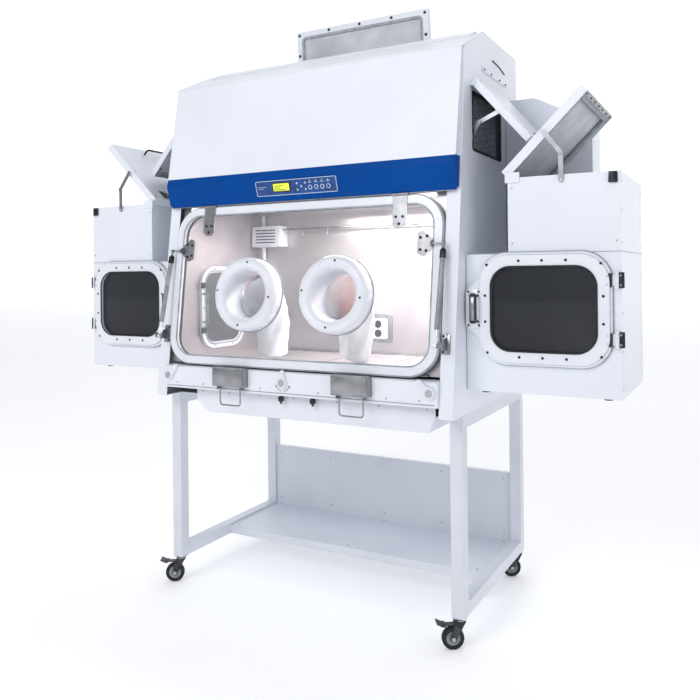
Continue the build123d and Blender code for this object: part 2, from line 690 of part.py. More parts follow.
hub_back = -glass_thick - 44.0
with BuildPart() as glove_rings:
    for name, s in SIDES:
        port = rake_plane(port_drop, window_proud - glass_set, s * port_x)
        outward = port.z_dir
        section = Plane(origin=port.origin, x_dir=(1, 0, 0), z_dir=Vector(1, 0, 0).cross(outward))
        with BuildSketch(section):
            with BuildLine():
                Polyline((port_inner_r - 6, hub_back), (port_inner_r, 8), (port_inner_r + 12, port_proud),
                         (port_outer_r - 14, port_proud), (port_outer_r, port_proud - 16),
                         (port_outer_r, gap), (port_hole_r - gap, gap),
                         (port_hole_r - gap, -glass_thick), (port_hole_r - 4, hub_back), close=True)
            make_face()
        revolve(axis=Axis(port.origin, outward))
finish(glove_rings, "glove_rings")

with BuildPart() as glove_sleeves:
    for (name, s), (foot_x, foot_set) in zip(SIDES, sleeve_foot):
        with BuildSketch(rake_plane(port_drop, window_proud - glass_set + hub_back - 1, s * port_x)):
            Circle(sleeve_top_r)
        with BuildSketch(Plane((foot_x, front + foot_set, floor_z + 24), x_dir=(1, 0, 0),
                               z_dir=(0, -0.5, 0.87))):
            Ellipse(sleeve_foot_r, 42)
        loft()
finish(glove_sleeves, "glove_sleeves")

plate = 3.0
bracket_root = window_proud - glass_set + gap + 1       # in the thickness of the strut's plate
plate_inner, plate_outer = window_half - window_rim - 62, window_half - window_rim - gap
bracket_x = plate_outer - 7
with BuildPart() as window_fittings:
    for name, s in SIDES:
        # hinge strap down the face of the window
        with BuildSketch(rake_plane(hinge_drop + strap_length / 2, window_proud, s * strap_x)):
            with Locations((0, 6)):
                Rectangle(strap_width, strap_length - 12)
            with Locations((0, -strap_length / 2 + 22)):
                SlotOverall(strap_width, 44, rotation=0)
        extrude(amount=plate)
        with Locations(Location((s * strap_x, hinge_axis.Y, hinge_axis.Z), (0, 90, 0))):
            Cylinder(knuckle_r, strap_width)
            Cylinder(pin_r + run, strap_width, mode=Mode.SUBTRACT)
        # plate that carries the strut's head
        head_drop = (head_z - strut_head_z) / cos(rake)
        with BuildSketch(rake_plane(head_drop, window_proud - glass_set + gap)):
            with BuildLine():
                Polyline((s * plate_inner, 38), (s * (plate_inner + 20), 46), (s * plate_outer, 16),
                         (s * plate_outer, -16), (s * (plate_inner + 26), -46),
                         (s * plate_inner, -34), close=True)
            make_face()
        extrude(amount=plate)
        with BuildSketch(Plane.YZ.offset(s * bracket_x)):
            with BuildLine():
                Polyline((strut_head[0] - 7, strut_head[1] - 7), (strut_head[0] - 7, strut_head[1] + 7),
                         (rake_y(strut_head_z + 14, bracket_root), strut_head_z + 14),
                         (rake_y(strut_head_z - 14, bracket_root), strut_head_z - 14), close=True)
            make_face()
        extrude(amount=s * 5)
        with BuildSketch(Plane.YZ.offset(s * (bracket_x + 2))):
            with Locations(strut_head):
                Circle(3)
        extrude(amount=s * (strut_x - strut_eye / 2 - 0.6 - bracket_x - 2))
finish(window_fittings, "window_fittings")

# ================================================================ window struts
strut_dir = Vector(0, strut_head[0] - strut_foot[0], strut_head[1] - strut_foot[1])
strut_length = strut_dir.length
strut_dir = strut_dir.normalized()
for name, s in SIDES:
    foot_plane = Plane(origin=(s * strut_x, *strut_foot), x_dir=(1, 0, 0), z_dir=strut_dir)
    head_plane = Plane(origin=(s * strut_x, *strut_head), x_dir=(1, 0, 0), z_dir=strut_dir)
    with BuildPart() as strut_rod:
        with BuildSketch(foot_plane):
            Circle(strut_rod_r)
        extrude(amount=strut_length - strut_neck - 8)
        with BuildSketch(foot_plane):
            Circle(strut_rod_r + 2)
        extrude(amount=22)
        with BuildSketch(Plane.YZ.offset(s * strut_x - strut_eye / 2)):
            with Locations(strut_foot):
                Circle(8)
        extrude(amount=strut_eye)
        with BuildSketch(Plane.YZ.offset(s * strut_x)):
            with Locations(strut_foot):
                Circle(3 + run)
        extrude(amount=20, both=True, mode=Mode.SUBTRACT)
    finish(strut_rod, f"strut_rod_{name}")

    with BuildPart() as strut_tube:
        with BuildSketch(head_plane.offset(-strut_tube_length)):
            Circle(strut_tube_r)
        extrude(amount=strut_tube_length - strut_neck)
        with BuildSketch(head_plane.offset(-strut_tube_length)):
            Circle(strut_rod_r + run)
        extrude(amount=strut_tube_length - strut_neck - 5, mode=Mode.SUBTRACT)
        with BuildSketch(head_plane.offset(-strut_neck - 2)):
            Circle(4.5)
        extrude(amount=strut_neck - 2)
        with BuildSketch(Plane.YZ.offset(s * strut_x - strut_eye / 2)):
            with Locations(strut_head):
                Circle(7)
        extrude(amount=strut_eye)
    finish(strut_tube, f"strut_tube_{name}")

# ================================================================ latch levers and bails
lever_names = ("left", "middle", "right")
lever_tips = [(lever_side_reach, 45), (lever_reach, 90), (lever_side_reach, 135)]
lever_back = ledge_front - gap
for (x, z), (reach, angle), name in zip(lever_spots, lever_tips, lever_names):
    tip = (x + reach * cos(radians(angle)), z + reach * sin(radians(angle)))
    normal = (sin(radians(angle)), -cos(radians(angle)))
    with BuildPart() as lever:
        with BuildSketch(Plane.XZ.offset(-lever_back)):
            with Locations((x, z)):
                Circle(lever_r)
            with Locations(tip):
                Circle(lever_tip_r)
            with BuildLine():
                Polyline((x + (lever_r - 6) * normal[0], z + (lever_r - 6) * normal[1]),
                         (tip[0] + lever_tip_r * normal[0], tip[1] + lever_tip_r * normal[1]),
                         (tip[0] - lever_tip_r * normal[0], tip[1] - lever_tip_r * normal[1]),
                         (x - (lever_r - 6) * normal[0], z - (lever_r - 6) * normal[1]), close=True)
            make_face()
        extrude(amount=lever_thick)
        fillet(lever.faces().sort_by(Axis.Y)[0].edges(), 2.5)
        with BuildSketch(Plane.XZ.offset(-lever_back)):
            with Locations((x, z)):
                Circle(lever_pin_r)
        extrude(amount=-skin - 3)
    finish(lever, f"latch_lever_{name}")

for x, (name, s) in zip(clamp_x, SIDES):
    w = bail_width / 2
    with BuildPart() as bail:
        with BuildLine(Plane.XZ.offset(-bail_y)) as wire:
            FilletPolyline((x - w - 7, bail_z), (x - w, bail_z), (x - w, bail_z - bail_drop),
                           (x + w, bail_z - bail_drop), (x + w, bail_z), (x + w + 7, bail_z),
                           radius=[3.5, 12, 12, 3.5])
        with BuildSketch(Plane(origin=wire.line @ 0, z_dir=wire.line % 0)):
            Circle(bail_r)
        sweep()
    finish(bail, f"clamp_bail_{name}")

# ================================================================ pass chambers
box_front = front + box_front_set
box_rear = box_front + box_depth
box_mid = (box_front + box_rear) / 2
box_in = half + box_gap
box_out = box_in + box_width
housing_in = box_in + housing_step
sheet = 2.5
door_mid = half + door_x
door_axis_x = door_mid + door_width / 2 + door_hinge_reach
door_axis_y = box_front - 8.0
door_hinges = (door_z + 92.0, door_z - 92.0)
door_knuckle = 18.0
lid_axis_x = housing_in + 2.0
lid_axis_z = box_high + lid_hinge_rise
stay_foot = (housing_in + lid_stay_foot[0], box_high + lid_stay_foot[1])
stay_plane = box_front - 6.0               # back face of the lower link

with BuildPart() as pass_boxes:
    for name, s in SIDES:
        with Locations((s * (box_in + box_out) / 2, box_mid, box_low)):
            Box(box_width, box_depth, box_seam - box_low, align=CENTRE_LOW)
        with Locations((s * (housing_in + box_out) / 2, box_mid, box_seam)):
            Box(box_out - housing_in, box_depth, box_high - box_seam, align=CENTRE_LOW)
        with Locations((s * (box_in + box_out) / 2, box_mid, box_low + sheet)):
            Box(box_width - 2 * sheet, box_depth - 2 * sheet, box_seam - box_low - 2 * sheet,
                align=CENTRE_LOW, mode=Mode.SUBTRACT)
        with Locations((s * (housing_in + box_out) / 2, box_mid, box_seam)):
            Box(box_out - housing_in - 2 * sheet, box_depth - 2 * sheet, box_high - box_seam,
                align=CENTRE_LOW, mode=Mode.SUBTRACT)
        with BuildSketch(Plane.XZ.offset(-box_front)):
            with Locations((s * door_mid, door_z)):
                RectangleRounded(door_glass_width + 30, door_glass_height + 30, door_glass_r + 12)
        extrude(amount=-2 * sheet, mode=Mode.SUBTRACT)
        with BuildSketch(Plane.YZ.offset(s * box_in)):
            with Locations((passage_y, passage_z)):
                RectangleRounded(passage_width, passage_height, passage_r)
        extrude(amount=s * 2 * sheet, mode=Mode.SUBTRACT)
        # fixed halves of the door hinges
        for z in door_hinges:
            for d in (-1, 1):
                with BuildSketch(Plane.XY.offset(z + d * (door_knuckle + gap + 4) - 4)):
                    with Locations((s * door_axis_x, door_axis_y)):
                        Circle(7)
                        Rectangle(14, 8 + 1, align=(Align.CENTER, Align.MIN))
                extrude(amount=8)
            with Locations((s * door_axis_x, door_axis_y, z)):
                Cylinder(3, 2 * door_knuckle + 12)
        # pivot brackets and pins of the lid, on the front and the back
        for y, d in ((box_front, -1), (box_rear, 1)):
            with Locations((s * (lid_axis_x + 14), y + d * 2.5, lid_axis_z - 9)):
                Box(48, 5, 34)
            with Locations(Location((s * lid_axis_x, y - d * 1.5, lid_axis_z), (90, 0, 0))):
                Cylinder(lid_pin_r, 12)
        # foot of the lid's stay
        with Locations(Location((s * stay_foot[0], box_front - 2.5, stay_foot[1]), (90, 0, 0))):
            Cylinder(9, 6)
        with Locations(Location((s * stay_foot[0], box_front - 4.5, stay_foot[1]), (90, 0, 0))):
            Cylinder(link_pin_r, 11)
finish(pass_boxes, "pass_boxes")

with BuildPart() as rear_ducts:
    for name, s in SIDES:
        with BuildSketch(Plane.XZ.offset(-box_rear - 8)):
            with BuildLine():
                Polyline((s * box_in, duct_low), (s * box_in, duct_high),
                         (s * (box_in + duct_shoulder), duct_high),
                         (s * (box_in + duct_reach), duct_high - 2.2 * duct_chamfer),
                         (s * (box_in + duct_reach), duct_low), close=True)
            make_face()
        extrude(amount=-(cabinet_rear - box_rear - 8))
        with BuildSketch(Plane.XZ.offset(-box_rear - 8 - sheet)):
            with BuildLine():
                Polyline((s * (box_in + sheet), duct_low), (s * (box_in + sheet), duct_high - sheet),
                         (s * (box_in + duct_shoulder - 1), duct_high - sheet),
                         (s * (box_in + duct_reach - sheet), duct_high - 2.2 * duct_chamfer - sheet),
                         (s * (box_in + duct_reach - sheet), duct_low), close=True)
            make_face()
        extrude(amount=-(cabinet_rear - box_rear - 8 - 2 * sheet), mode=Mode.SUBTRACT)
finish(rear_ducts, "rear_ducts")

# ---------------------------------------------------------------- doors of the pass chambers
door_back = box_front - door_gap
door_face = door_back - door_thick
door_edge = door_mid - door_width / 2
handle_x = door_edge - nose_width / 2 + 6
for name, s in SIDES:
    with BuildPart() as pass_door:
        with BuildSketch(Plane.XZ.offset(-door_back)):
            with Locations((s * door_mid, door_z)):
                RectangleRounded(door_width, door_height, door_r)
            with BuildLine():
                Polyline((s * (door_edge + 60), door_z + nose_height / 2 + 62),
                         (s * (door_edge - nose_width + 14), door_z + nose_height / 2 - 12),
                         (s * (door_edge - nose_width + 3), door_z + nose_height / 2 - 26),
                         (s * (door_edge - nose_width + 3), door_z - nose_height / 2 + 26),
                         (s * (door_edge - nose_width + 14), door_z - nose_height / 2 + 12),
                         (s * (door_edge + 60), door_z - nose_height / 2 - 62), close=True)
            make_face()
            with Locations((s * door_mid, door_z)):
                RectangleRounded(door_glass_width, door_glass_height, door_glass_r,
                                 mode=Mode.SUBTRACT)
        extrude(amount=door_thick)
        with BuildSketch(Plane.XZ.offset(-door_face)):
            with Locations((s * door_mid, door_z)):
                RectangleRounded(door_glass_width + 2 * door_rim, door_glass_height + 2 * door_rim,
                                 door_glass_r + door_rim * 0.7)
                RectangleRounded(door_glass_width, door_glass_height, door_glass_r,
                                 mode=Mode.SUBTRACT)
        extrude(amount=door_rim_proud)
        for z in door_hinges:
            with BuildSketch(Plane.XY.offset(z - door_knuckle)):
                with Locations((s * door_axis_x, door_axis_y)):
                    Circle(7)
                with Locations((s * (door_axis_x - door_hinge_reach - 3), door_face + door_thick / 2)):
                    Rectangle(2 * door_hinge_reach + 6, door_thick - 3)
            extrude(amount=2 * door_knuckle)
            with Locations((s * door_axis_x, door_axis_y, z)):
                Cylinder(3 + run, 2 * door_knuckle + 1, mode=Mode.SUBTRACT)
    finish(pass_door, f"pass_door_{name}")

    with BuildPart() as door_glass:
        with BuildSketch(Plane.XZ.offset(-door_back + 2)):
            with Locations((s * door_mid, door_z)):
                RectangleRounded(door_glass_width - gap, door_glass_height - gap, door_glass_r)
        extrude(amount=6)
    finish(door_glass, f"door_glass_{name}")

    # paddle that is pulled out at its foot to release the door
    with BuildPart() as door_handle:
        with BuildSketch(Plane.XZ.offset(-door_face + gap)):
            with Locations((s * handle_x, door_z)):
                RectangleRounded(24, handle_height - 32, 8)
        extrude(amount=handle_thick)
        fillet(door_handle.faces().sort_by(Axis.Y)[0].edges(), 3)
    finish(door_handle, f"door_handle_{name}")

# ---------------------------------------------------------------- lids of the pass chambers
lid_width = box_depth
lid_skin = 2.0
for name, s in SIDES:
    a = radians(lid_open)
    lid_plane = Plane(origin=(s * lid_axis_x, box_mid, lid_axis_z), x_dir=(s * cos(a), 0, sin(a)),
                      z_dir=(-s * sin(a), 0, cos(a)))
    with BuildPart() as pass_lid:
        with BuildSketch(lid_plane.offset(-lid_lift)):
            with Locations((lid_length / 2 - 7, 0)):
                Rectangle(lid_length, lid_width)
        extrude(amount=lid_thick)
        with BuildSketch(lid_plane.offset(-lid_lift)):
            with Locations((lid_length / 2 - 7, 0)):
                Rectangle(lid_length - 2 * lid_skin, lid_width - 2 * lid_skin)
        extrude(amount=lid_thick - lid_skin, mode=Mode.SUBTRACT)
        # holes for the pivot pins, and the boss that meets the stay
        with Locations(Location((s * lid_axis_x, box_mid, lid_axis_z), (90, 0, 0))):
            Cylinder(lid_pin_r + run, lid_width + 10, mode=Mode.SUBTRACT)
        grip = lid_plane.from_local_coords(Vector(lid_stay_grip[0], 0, lid_stay_grip[1]))
        with Locations(Location((grip.X, (box_front + 3 + stay_plane - link_thick) / 2, grip.Z),
                                (90, 0, 0))):
            Cylinder(7, box_front + 3 - stay_plane + link_thick)
    finish(pass_lid, f"pass_lid_{name}")

    # two-link stay in front of the housing; its top pivot is open
    mid = (s * stay_foot[0], stay_foot[1] + lid_stay_low)
    foot_point = (s * stay_foot[0], stay_foot[1])
    with BuildPart() as stay_low:
        with BuildSketch(Plane.XZ.offset(-stay_plane)):
            with Locations(((foot_point[0] + mid[0]) / 2, (foot_point[1] + mid[1]) / 2)):
                SlotCenterToCenter(lid_stay_low, link_width, rotation=90)
            with Locations(foot_point):
                Circle(link_pin_r + run, mode=Mode.SUBTRACT)
        extrude(amount=link_thick)
        with BuildSketch(Plane.XZ.offset(-stay_plane + link_thick / 2)):
            with Locations(mid):
                Circle(link_pin_r)
        extrude(amount=2 * link_thick + gap)
    finish(stay_low, f"lid_stay_low_{name}")

    lean = degrees(atan2(grip.Z - mid[1], grip.X - mid[0]))
    reach = ((grip.Z - mid[1]) ** 2 + (grip.X - mid[0]) ** 2) ** 0.5
    with BuildPart() as stay_high:
        with BuildSketch(Plane.XZ.offset(-stay_plane + link_thick + gap)):
            with Locations(((grip.X + mid[0]) / 2, (grip.Z + mid[1]) / 2)):
                SlotCenterToCenter(reach, link_width, rotation=lean)
            with Locations(mid):
                Circle(link_pin_r + run, mode=Mode.SUBTRACT)
        extrude(amount=link_thick)
    finish(stay_high, f"lid_stay_high_{name}")

# ================================================================ side service covers
cover_y = front + (cover_front + cover_rear) / 2
cover_width = cover_rear - cover_front
cover_stay_y = front + cover_stay_set
for name, s in SIDES:
    a = radians(cover_open)
    # local x runs down the cover, local z out of its outer face
    down, out = Vector(s * sin(a), 0, -cos(a)), Vector(s * cos(a), 0, sin(a))
    pivot = Vector(s * (half + cover_pin_off), cover_y, cover_hinge_z)
    corner = pivot - down * cover_pin_place[0] - out * cover_pin_place[1]
    cover_plane = Plane(origin=corner, x_dir=down, z_dir=out)
    grip = cover_plane.from_local_coords(Vector(cover_stay_grip[0], 0, cover_stay_grip[1]))
    with BuildPart() as side_cover:
        with BuildSketch(cover_plane):
            with Locations((cover_length / 2 - 3, 0)):
                Rectangle(cover_length, cover_width)
        extrude(amount=cover_thick)
        with BuildSketch(cover_plane):
            with Locations((cover_length / 2 - 3, 0)):
                Rectangle(cover_length - 2 * lid_skin, cover_width - 2 * lid_skin)
        extrude(amount=cover_thick - lid_skin, mode=Mode.SUBTRACT)
        with Locations(Location(pivot, (90, 0, 0))):
            Cylinder(lid_pin_r + run, cover_width + 10, mode=Mode.SUBTRACT)
        boss_from, boss_to = front + cover_front + 1, cover_stay_y + link_thick - 0.1
        with Locations(Location((grip.X, (boss_from + boss_to) / 2, grip.Z), (90, 0, 0))):
            Cylinder(6, boss_to - boss_from)
    finish(side_cover, f"side_cover_{name}")
    foot_point = (s * (half + cover_stay_foot[0]), cover_stay_foot[1])
    mid = (s * (half + cover_stay_mid[0]), cover_stay_mid[1])
    low_lean = degrees(atan2(mid[1] - foot_point[1], mid[0] - foot_point[0]))
    low_reach = ((mid[1] - foot_point[1]) ** 2 + (mid[0] - foot_point[0]) ** 2) ** 0.5
    with BuildPart() as stay_low:
        with BuildSketch(Plane.XZ.offset(-cover_stay_y - link_thick)):
            with Locations(((foot_point[0] + mid[0]) / 2, (foot_point[1] + mid[1]) / 2)):
                SlotCenterToCenter(low_reach, link_width, rotation=low_lean)
            with Locations(foot_point):
                Circle(link_pin_r + run, mode=Mode.SUBTRACT)
        extrude(amount=link_thick)
        with BuildSketch(Plane.XZ.offset(-cover_stay_y - link_thick / 2)):
            with Locations(mid):
                Circle(link_pin_r)
        extrude(amount=-2 * link_thick - gap)
    finish(stay_low, f"cover_stay_low_{name}")
    lean = degrees(atan2(grip.Z - mid[1], grip.X - mid[0]))
    reach = ((grip.Z - mid[1]) ** 2 + (grip.X - mid[0]) ** 2) ** 0.5
    with BuildPart() as stay_high:
        with BuildSketch(Plane.XZ.offset(-cover_stay_y - link_thick - gap)):
            with Locations(((grip.X + mid[0]) / 2, (grip.Z + mid[1]) / 2)):
                SlotCenterToCenter(reach, link_width, rotation=lean)
            with Locations(mid):
                Circle(link_pin_r + run, mode=Mode.SUBTRACT)
        extrude(amount=-link_thick)
    finish(stay_high, f"cover_stay_high_{name}")

# ================================================================ top hatch
a = radians(hatch_open)
hatch_plane = Plane(origin=(0, *hatch_axis), x_dir=(1, 0, 0), z_dir=(0, sin(a), cos(a)))
with BuildPart() as top_hatch:
    # local y runs back from the free edge to the hinge line
    with BuildSketch(hatch_plane.offset(-4)):
        with Locations((0, -hatch_length / 2)):
            RectangleRounded(hatch_width, hatch_length, 4)
    extrude(amount=hatch_thick)
    with BuildSketch(hatch_plane.offset(-4)):
        with Locations((0, -hatch_length / 2)):
            RectangleRounded(hatch_width - 2 * hatch_rim, hatch_length - 2 * hatch_rim, 22)
    extrude(amount=8, mode=Mode.SUBTRACT)
    with BuildSketch(hatch_plane.offset(6)):
        with Locations((0, -hatch_length / 2)):
            Rectangle(hatch_width - 12, hatch_length - 12)
    extrude(amount=hatch_thick - 12, mode=Mode.SUBTRACT)
    # barrel along the hinge line, and room for the lugs beside it
    with Locations(*[Location((s * (hatch_barrel / 2 + 8), *hatch_axis), (0, 90, 0))
                     for name, s in SIDES]):
        Cylinder(14, 18, mode=Mode.SUBTRACT)
    with Locations(Location((0, *hatch_axis), (0, 90, 0))):
        Cylinder(hatch_barrel_r, hatch_barrel)
        Cylinder(pin_r + run, hatch_barrel + 10, mode=Mode.SUBTRACT)
finish(top_hatch, "top_hatch")

# ================================================================ inner doors
for name, s in SIDES:
    with BuildPart() as inner_door:
        with BuildSketch(Plane.YZ.offset(s * inner_face)):
            with Locations((passage_y, passage_z)):
                RectangleRounded(inner_width, inner_height, passage_r + passage_flange)
        extrude(amount=-s * inner_thick)
        with BuildSketch(Plane.YZ.offset(s * inner_face)):
            with Locations((passage_y, passage_z)):
                RectangleRounded(passage_width, passage_height, passage_r)
        extrude(amount=-s * 4, mode=Mode.SUBTRACT)
        with BuildSketch(Plane.YZ.offset(s * (inner_face - inner_thick))):
            with Locations((passage_y, passage_z)):
                RectangleRounded(passage_width, passage_height, passage_r)
        extrude(amount=s * 5, mode=Mode.SUBTRACT)
        for z in inner_hinges:
            with BuildSketch(Plane.XY.offset(z - 15)):
                with Locations((s * inner_axis[0], inner_axis[1])):
                    Circle(6)
                with Locations((s * inner_axis[0], inner_axis[1] - 8)):
                    Rectangle(8, 16)
            extrude(amount=30)
            with Locations((s * inner_axis[0], inner_axis[1], z)):
                Cylinder(pin_r + run, 40, mode=Mode.SUBTRACT)
    finish(inner_door, f"inner_door_{name}")
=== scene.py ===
"""Laboratory glove box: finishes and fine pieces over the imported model, in metres, in its frame."""
from math import atan2, cos, pi, radians, sin

import bmesh
import bpy
from mathutils import Matrix, Vector


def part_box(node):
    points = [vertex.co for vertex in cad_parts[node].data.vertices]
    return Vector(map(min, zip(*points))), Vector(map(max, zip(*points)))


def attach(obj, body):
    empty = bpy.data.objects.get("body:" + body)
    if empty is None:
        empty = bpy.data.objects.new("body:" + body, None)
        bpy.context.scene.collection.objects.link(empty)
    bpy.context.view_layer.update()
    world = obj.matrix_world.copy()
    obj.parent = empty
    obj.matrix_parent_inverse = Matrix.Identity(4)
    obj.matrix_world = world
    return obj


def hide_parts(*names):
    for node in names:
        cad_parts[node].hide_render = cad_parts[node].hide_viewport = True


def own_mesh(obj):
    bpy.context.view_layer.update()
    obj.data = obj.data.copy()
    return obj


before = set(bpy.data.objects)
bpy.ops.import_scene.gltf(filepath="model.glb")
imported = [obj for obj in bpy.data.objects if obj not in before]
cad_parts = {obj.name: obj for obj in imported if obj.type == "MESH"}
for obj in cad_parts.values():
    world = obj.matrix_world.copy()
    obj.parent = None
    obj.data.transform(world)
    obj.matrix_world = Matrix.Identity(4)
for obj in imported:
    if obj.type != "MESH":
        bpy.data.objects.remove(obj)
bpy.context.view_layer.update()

bl_info = {
    "name": "Laboratory glove box",
    "version": (1, 0, 0),
    "blender": (4, 5, 0),
    "location": "View3D > Sidebar > Glove box",
    "description": "Builds the glove box's finishes, fittings and soft sleeves over its packed model",
    "category": "Object",
}

SIDES = (("left", -1), ("right", 1))
MM = 0.001


def side_box(node):
    """A CAD node's box in millimetres: (lowest corner, highest corner)."""
    low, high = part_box(node)
    return [v / MM for v in low], [v / MM for v in high]


# ------------------------------------------------------------------ places on the object, in mm
HALF = side_box("stand_frame")[1][0]
CAB_REAR = side_box("cabinet_shell")[1][1]
LEDGE_LOW, LEDGE_HIGH = side_box("front_ledge")
LEDGE_REACH = 95.0
FRONT = LEDGE_LOW[1] + LEDGE_REACH
SILL = LEDGE_HIGH[2]
HEAD = SILL + 637.0
RAKE = atan2(98.0, 761.0)
TOP = SILL + 1232.0
CHAMBER_BACK = side_box("chamber_liner")[1][1]
FLOOR = SILL + 11.0
HINGE_DROP = 8.0
WINDOW_WIDTH, WINDOW_HEIGHT, WINDOW_MID = 1156.0, 620.0, 322.0
STRUT_X, STRUT_FOOT_Z, STRUT_HEAD_Z = 590, 1035, 1370
LEVER_X, LEVER_DROP, LEVER_SWEEP = -19, 39, 31
CLAMP_X = (-248, 272)
LID_OPEN, COVER_OPEN, HATCH_OPEN = 45, 41, 86
PORT_X, PORT_DROP = 190.0, 362.0
BOX_FRONT = FRONT + 48.5
BOX_REAR = BOX_FRONT + 469.5
BOX_IN, BOX_OUT = HALF + 2.0, HALF + 503.0
HOUSING_IN = BOX_IN + 146.0
SEAM, BOX_TOP = 1332.0, 1581.0
DOOR_X, DOOR_Z = HALF + 263.0, 1150.0
DOOR_FACE = BOX_FRONT - 15.0
LID_AXIS = (HOUSING_IN + 2.0, (BOX_FRONT + BOX_REAR) / 2, 1590.0)
COVER_PIN = (HALF + 13.0, FRONT + 297.0, 1928.0)
HATCH_AXIS = (FRONT + 517.0, TOP + 9.4)
PASSAGE_Y, PASSAGE_Z = FRONT + 262.0, 1132.0


def basis(origin, x_dir, z_dir):
    """Matrix of a place: local x along x_dir, local z along z_dir; the origin is in mm."""
    x, z = Vector(x_dir).normalized(), Vector(z_dir).normalized()
    y = z.cross(x)
    return Matrix.Translation(Vector(origin) * MM) @ Matrix((x, y, z)).transposed().to_4x4()


def raked(drop, proud, x=0.0):
    """A place on the window's plane: local y points up the rake and local z out of its face."""
    y = FRONT + 10.0 - drop * sin(RAKE) - proud * cos(RAKE)
    z = HEAD - drop * cos(RAKE) + proud * sin(RAKE)
    return basis((x, y, z), (1, 0, 0), (0, -cos(RAKE), sin(RAKE)))


def facing(x, y, z):
    """A place on a face that looks to the front: local y is up."""
    return basis((x, y, z), (1, 0, 0), (0, -1, 0))


def backing(x, y, z):
    """A place on a face that looks to the back: local y is up."""
    return basis((x, y, z), (-1, 0, 0), (0, 1, 0))


def sideways(s, x, y, z):
    """A place on a face that looks to side s: local y is up."""
    return basis((x, y, z), (0, s, 0), (s, 0, 0))


def level(x, y, z, down=False):
    """A place on a level face, looking up or down."""
    return basis((x, y, z), (1, 0, 0), (0, 0, -1 if down else 1))


def lid_place(s, along, across, out):
    """A place on a pass chamber's lid: local x runs along it from the hinge, z out of its top."""
    a = radians(LID_OPEN)
    base = basis((s * LID_AXIS[0], LID_AXIS[1], LID_AXIS[2]), (s * cos(a), 0, sin(a)),
                 (-s * sin(a), 0, cos(a)))
    return base @ Matrix.Translation(Vector((along, across, out)) * MM)


def cover_place(s, along, across, out):
    """A place on a side cover: local x runs down it from the hinge, z out of its outer face."""
    a = radians(COVER_OPEN)
    down, away = Vector((s * sin(a), 0, -cos(a))), Vector((s * cos(a), 0, sin(a)))
    corner = Vector((s * COVER_PIN[0], COVER_PIN[1], COVER_PIN[2])) - down * 5 - away * 8
    return basis(corner, down, away) @ Matrix.Translation(Vector((along, across, out)) * MM)


def hatch_place(x, back, out):
    """A place on the top hatch: local y runs from its free edge back to the hinge."""
    a = radians(HATCH_OPEN)
    base = basis((0, *HATCH_AXIS), (1, 0, 0), (0, sin(a), cos(a)))
    return base @ Matrix.Translation(Vector((x, back, out)) * MM)


# ------------------------------------------------------------------ modelling by hand, in small steps
def nothing_selected():
    """Leaves edit mode and deselects everything."""
    if bpy.context.mode != "OBJECT":
        bpy.ops.object.mode_set(mode="OBJECT")
    bpy.ops.object.select_all(action="DESELECT")


def only(obj):
    """Selects one object and makes it the active one."""
    nothing_selected()
    obj.select_set(True)
    bpy.context.view_layer.objects.active = obj


def modifier(obj, kind, **settings):
    """Adds a modifier and applies it."""
    only(obj)
    m = obj.modifiers.new(kind.title(), kind)
    for key, value in settings.items():
        setattr(m, key, value)
    bpy.ops.object.modifier_apply(modifier=m.name)


def soft_edges(obj, width, segments=2, angle=35):
    """Rounds every edge sharper than the angle, by the width in mm."""
    modifier(obj, "BEVEL", width=width * MM, segments=segments, limit_method="ANGLE",
             angle_limit=radians(angle), harden_normals=False)


def sheet_of(name, w, h, r=0.0, rim=0.0, round_steps=8):
    """A flat outline w by h with corners of radius r; with a rim, only that border of it."""
    nothing_selected()
    bpy.ops.mesh.primitive_plane_add(size=1)
    obj = bpy.context.object
    obj.name = name
    bpy.ops.object.mode_set(mode="EDIT")
    bpy.ops.mesh.select_all(action="SELECT")
    bpy.ops.transform.resize(value=(w * MM, h * MM, 1), center_override=(0, 0, 0))
    if r:
        bpy.ops.mesh.bevel(offset=r * MM, offset_type="OFFSET", segments=round_steps, affect="VERTICES")
    if rim:
        bpy.ops.mesh.select_all(action="SELECT")
        bpy.ops.mesh.inset(thickness=rim * MM, depth=0)
        bpy.ops.mesh.delete(type="FACE")
    bpy.ops.object.mode_set(mode="OBJECT")
    return obj


def plate(name, w, h, t, r=0.0, rim=0.0, edge=0.6, round_steps=8):
    """A plate or a ring of thickness t that stands on its local z = 0."""
    obj = sheet_of(name, w, h, r, rim, round_steps)
    modifier(obj, "SOLIDIFY", thickness=t * MM, offset=1.0)
    if edge:
        soft_edges(obj, edge)
    return obj


def turned(name, profile, closed=False, around=32):
    """A turned piece about local z: profile is (radius, height) in mm, drawn out ring by ring."""
    nothing_selected()
    (r0, z0), rest = profile[0], profile[1:]
    bpy.ops.mesh.primitive_circle_add(vertices=around, radius=r0 * MM, fill_type="NOTHING",
                                      location=(0, 0, z0 * MM))
    obj = bpy.context.object
    obj.name = name
    bpy.ops.object.transform_apply(location=True, rotation=True, scale=True)
    bpy.ops.object.mode_set(mode="EDIT")
    bpy.ops.mesh.select_all(action="SELECT")
    last_r, last_z = r0, z0
    for r, z in rest:
        bpy.ops.mesh.extrude_region_move(TRANSFORM_OT_translate={"value": (0, 0, (z - last_z) * MM)})
        if r < 1e-6:
            bpy.ops.mesh.merge(type="CENTER")
        else:
            bpy.ops.transform.resize(value=(r / last_r, r / last_r, 1), center_override=(0, 0, z * MM))
        last_r, last_z = r, z
    bpy.ops.mesh.select_all(action="DESELECT")
    bpy.ops.mesh.select_non_manifold()
    if closed:
        bpy.ops.mesh.bridge_edge_loops()
    else:
        bpy.ops.mesh.fill_holes(sides=0)
    bpy.ops.mesh.select_all(action="SELECT")
    bpy.ops.mesh.normals_make_consistent(inside=False)
    bpy.ops.object.mode_set(mode="OBJECT")
    return obj


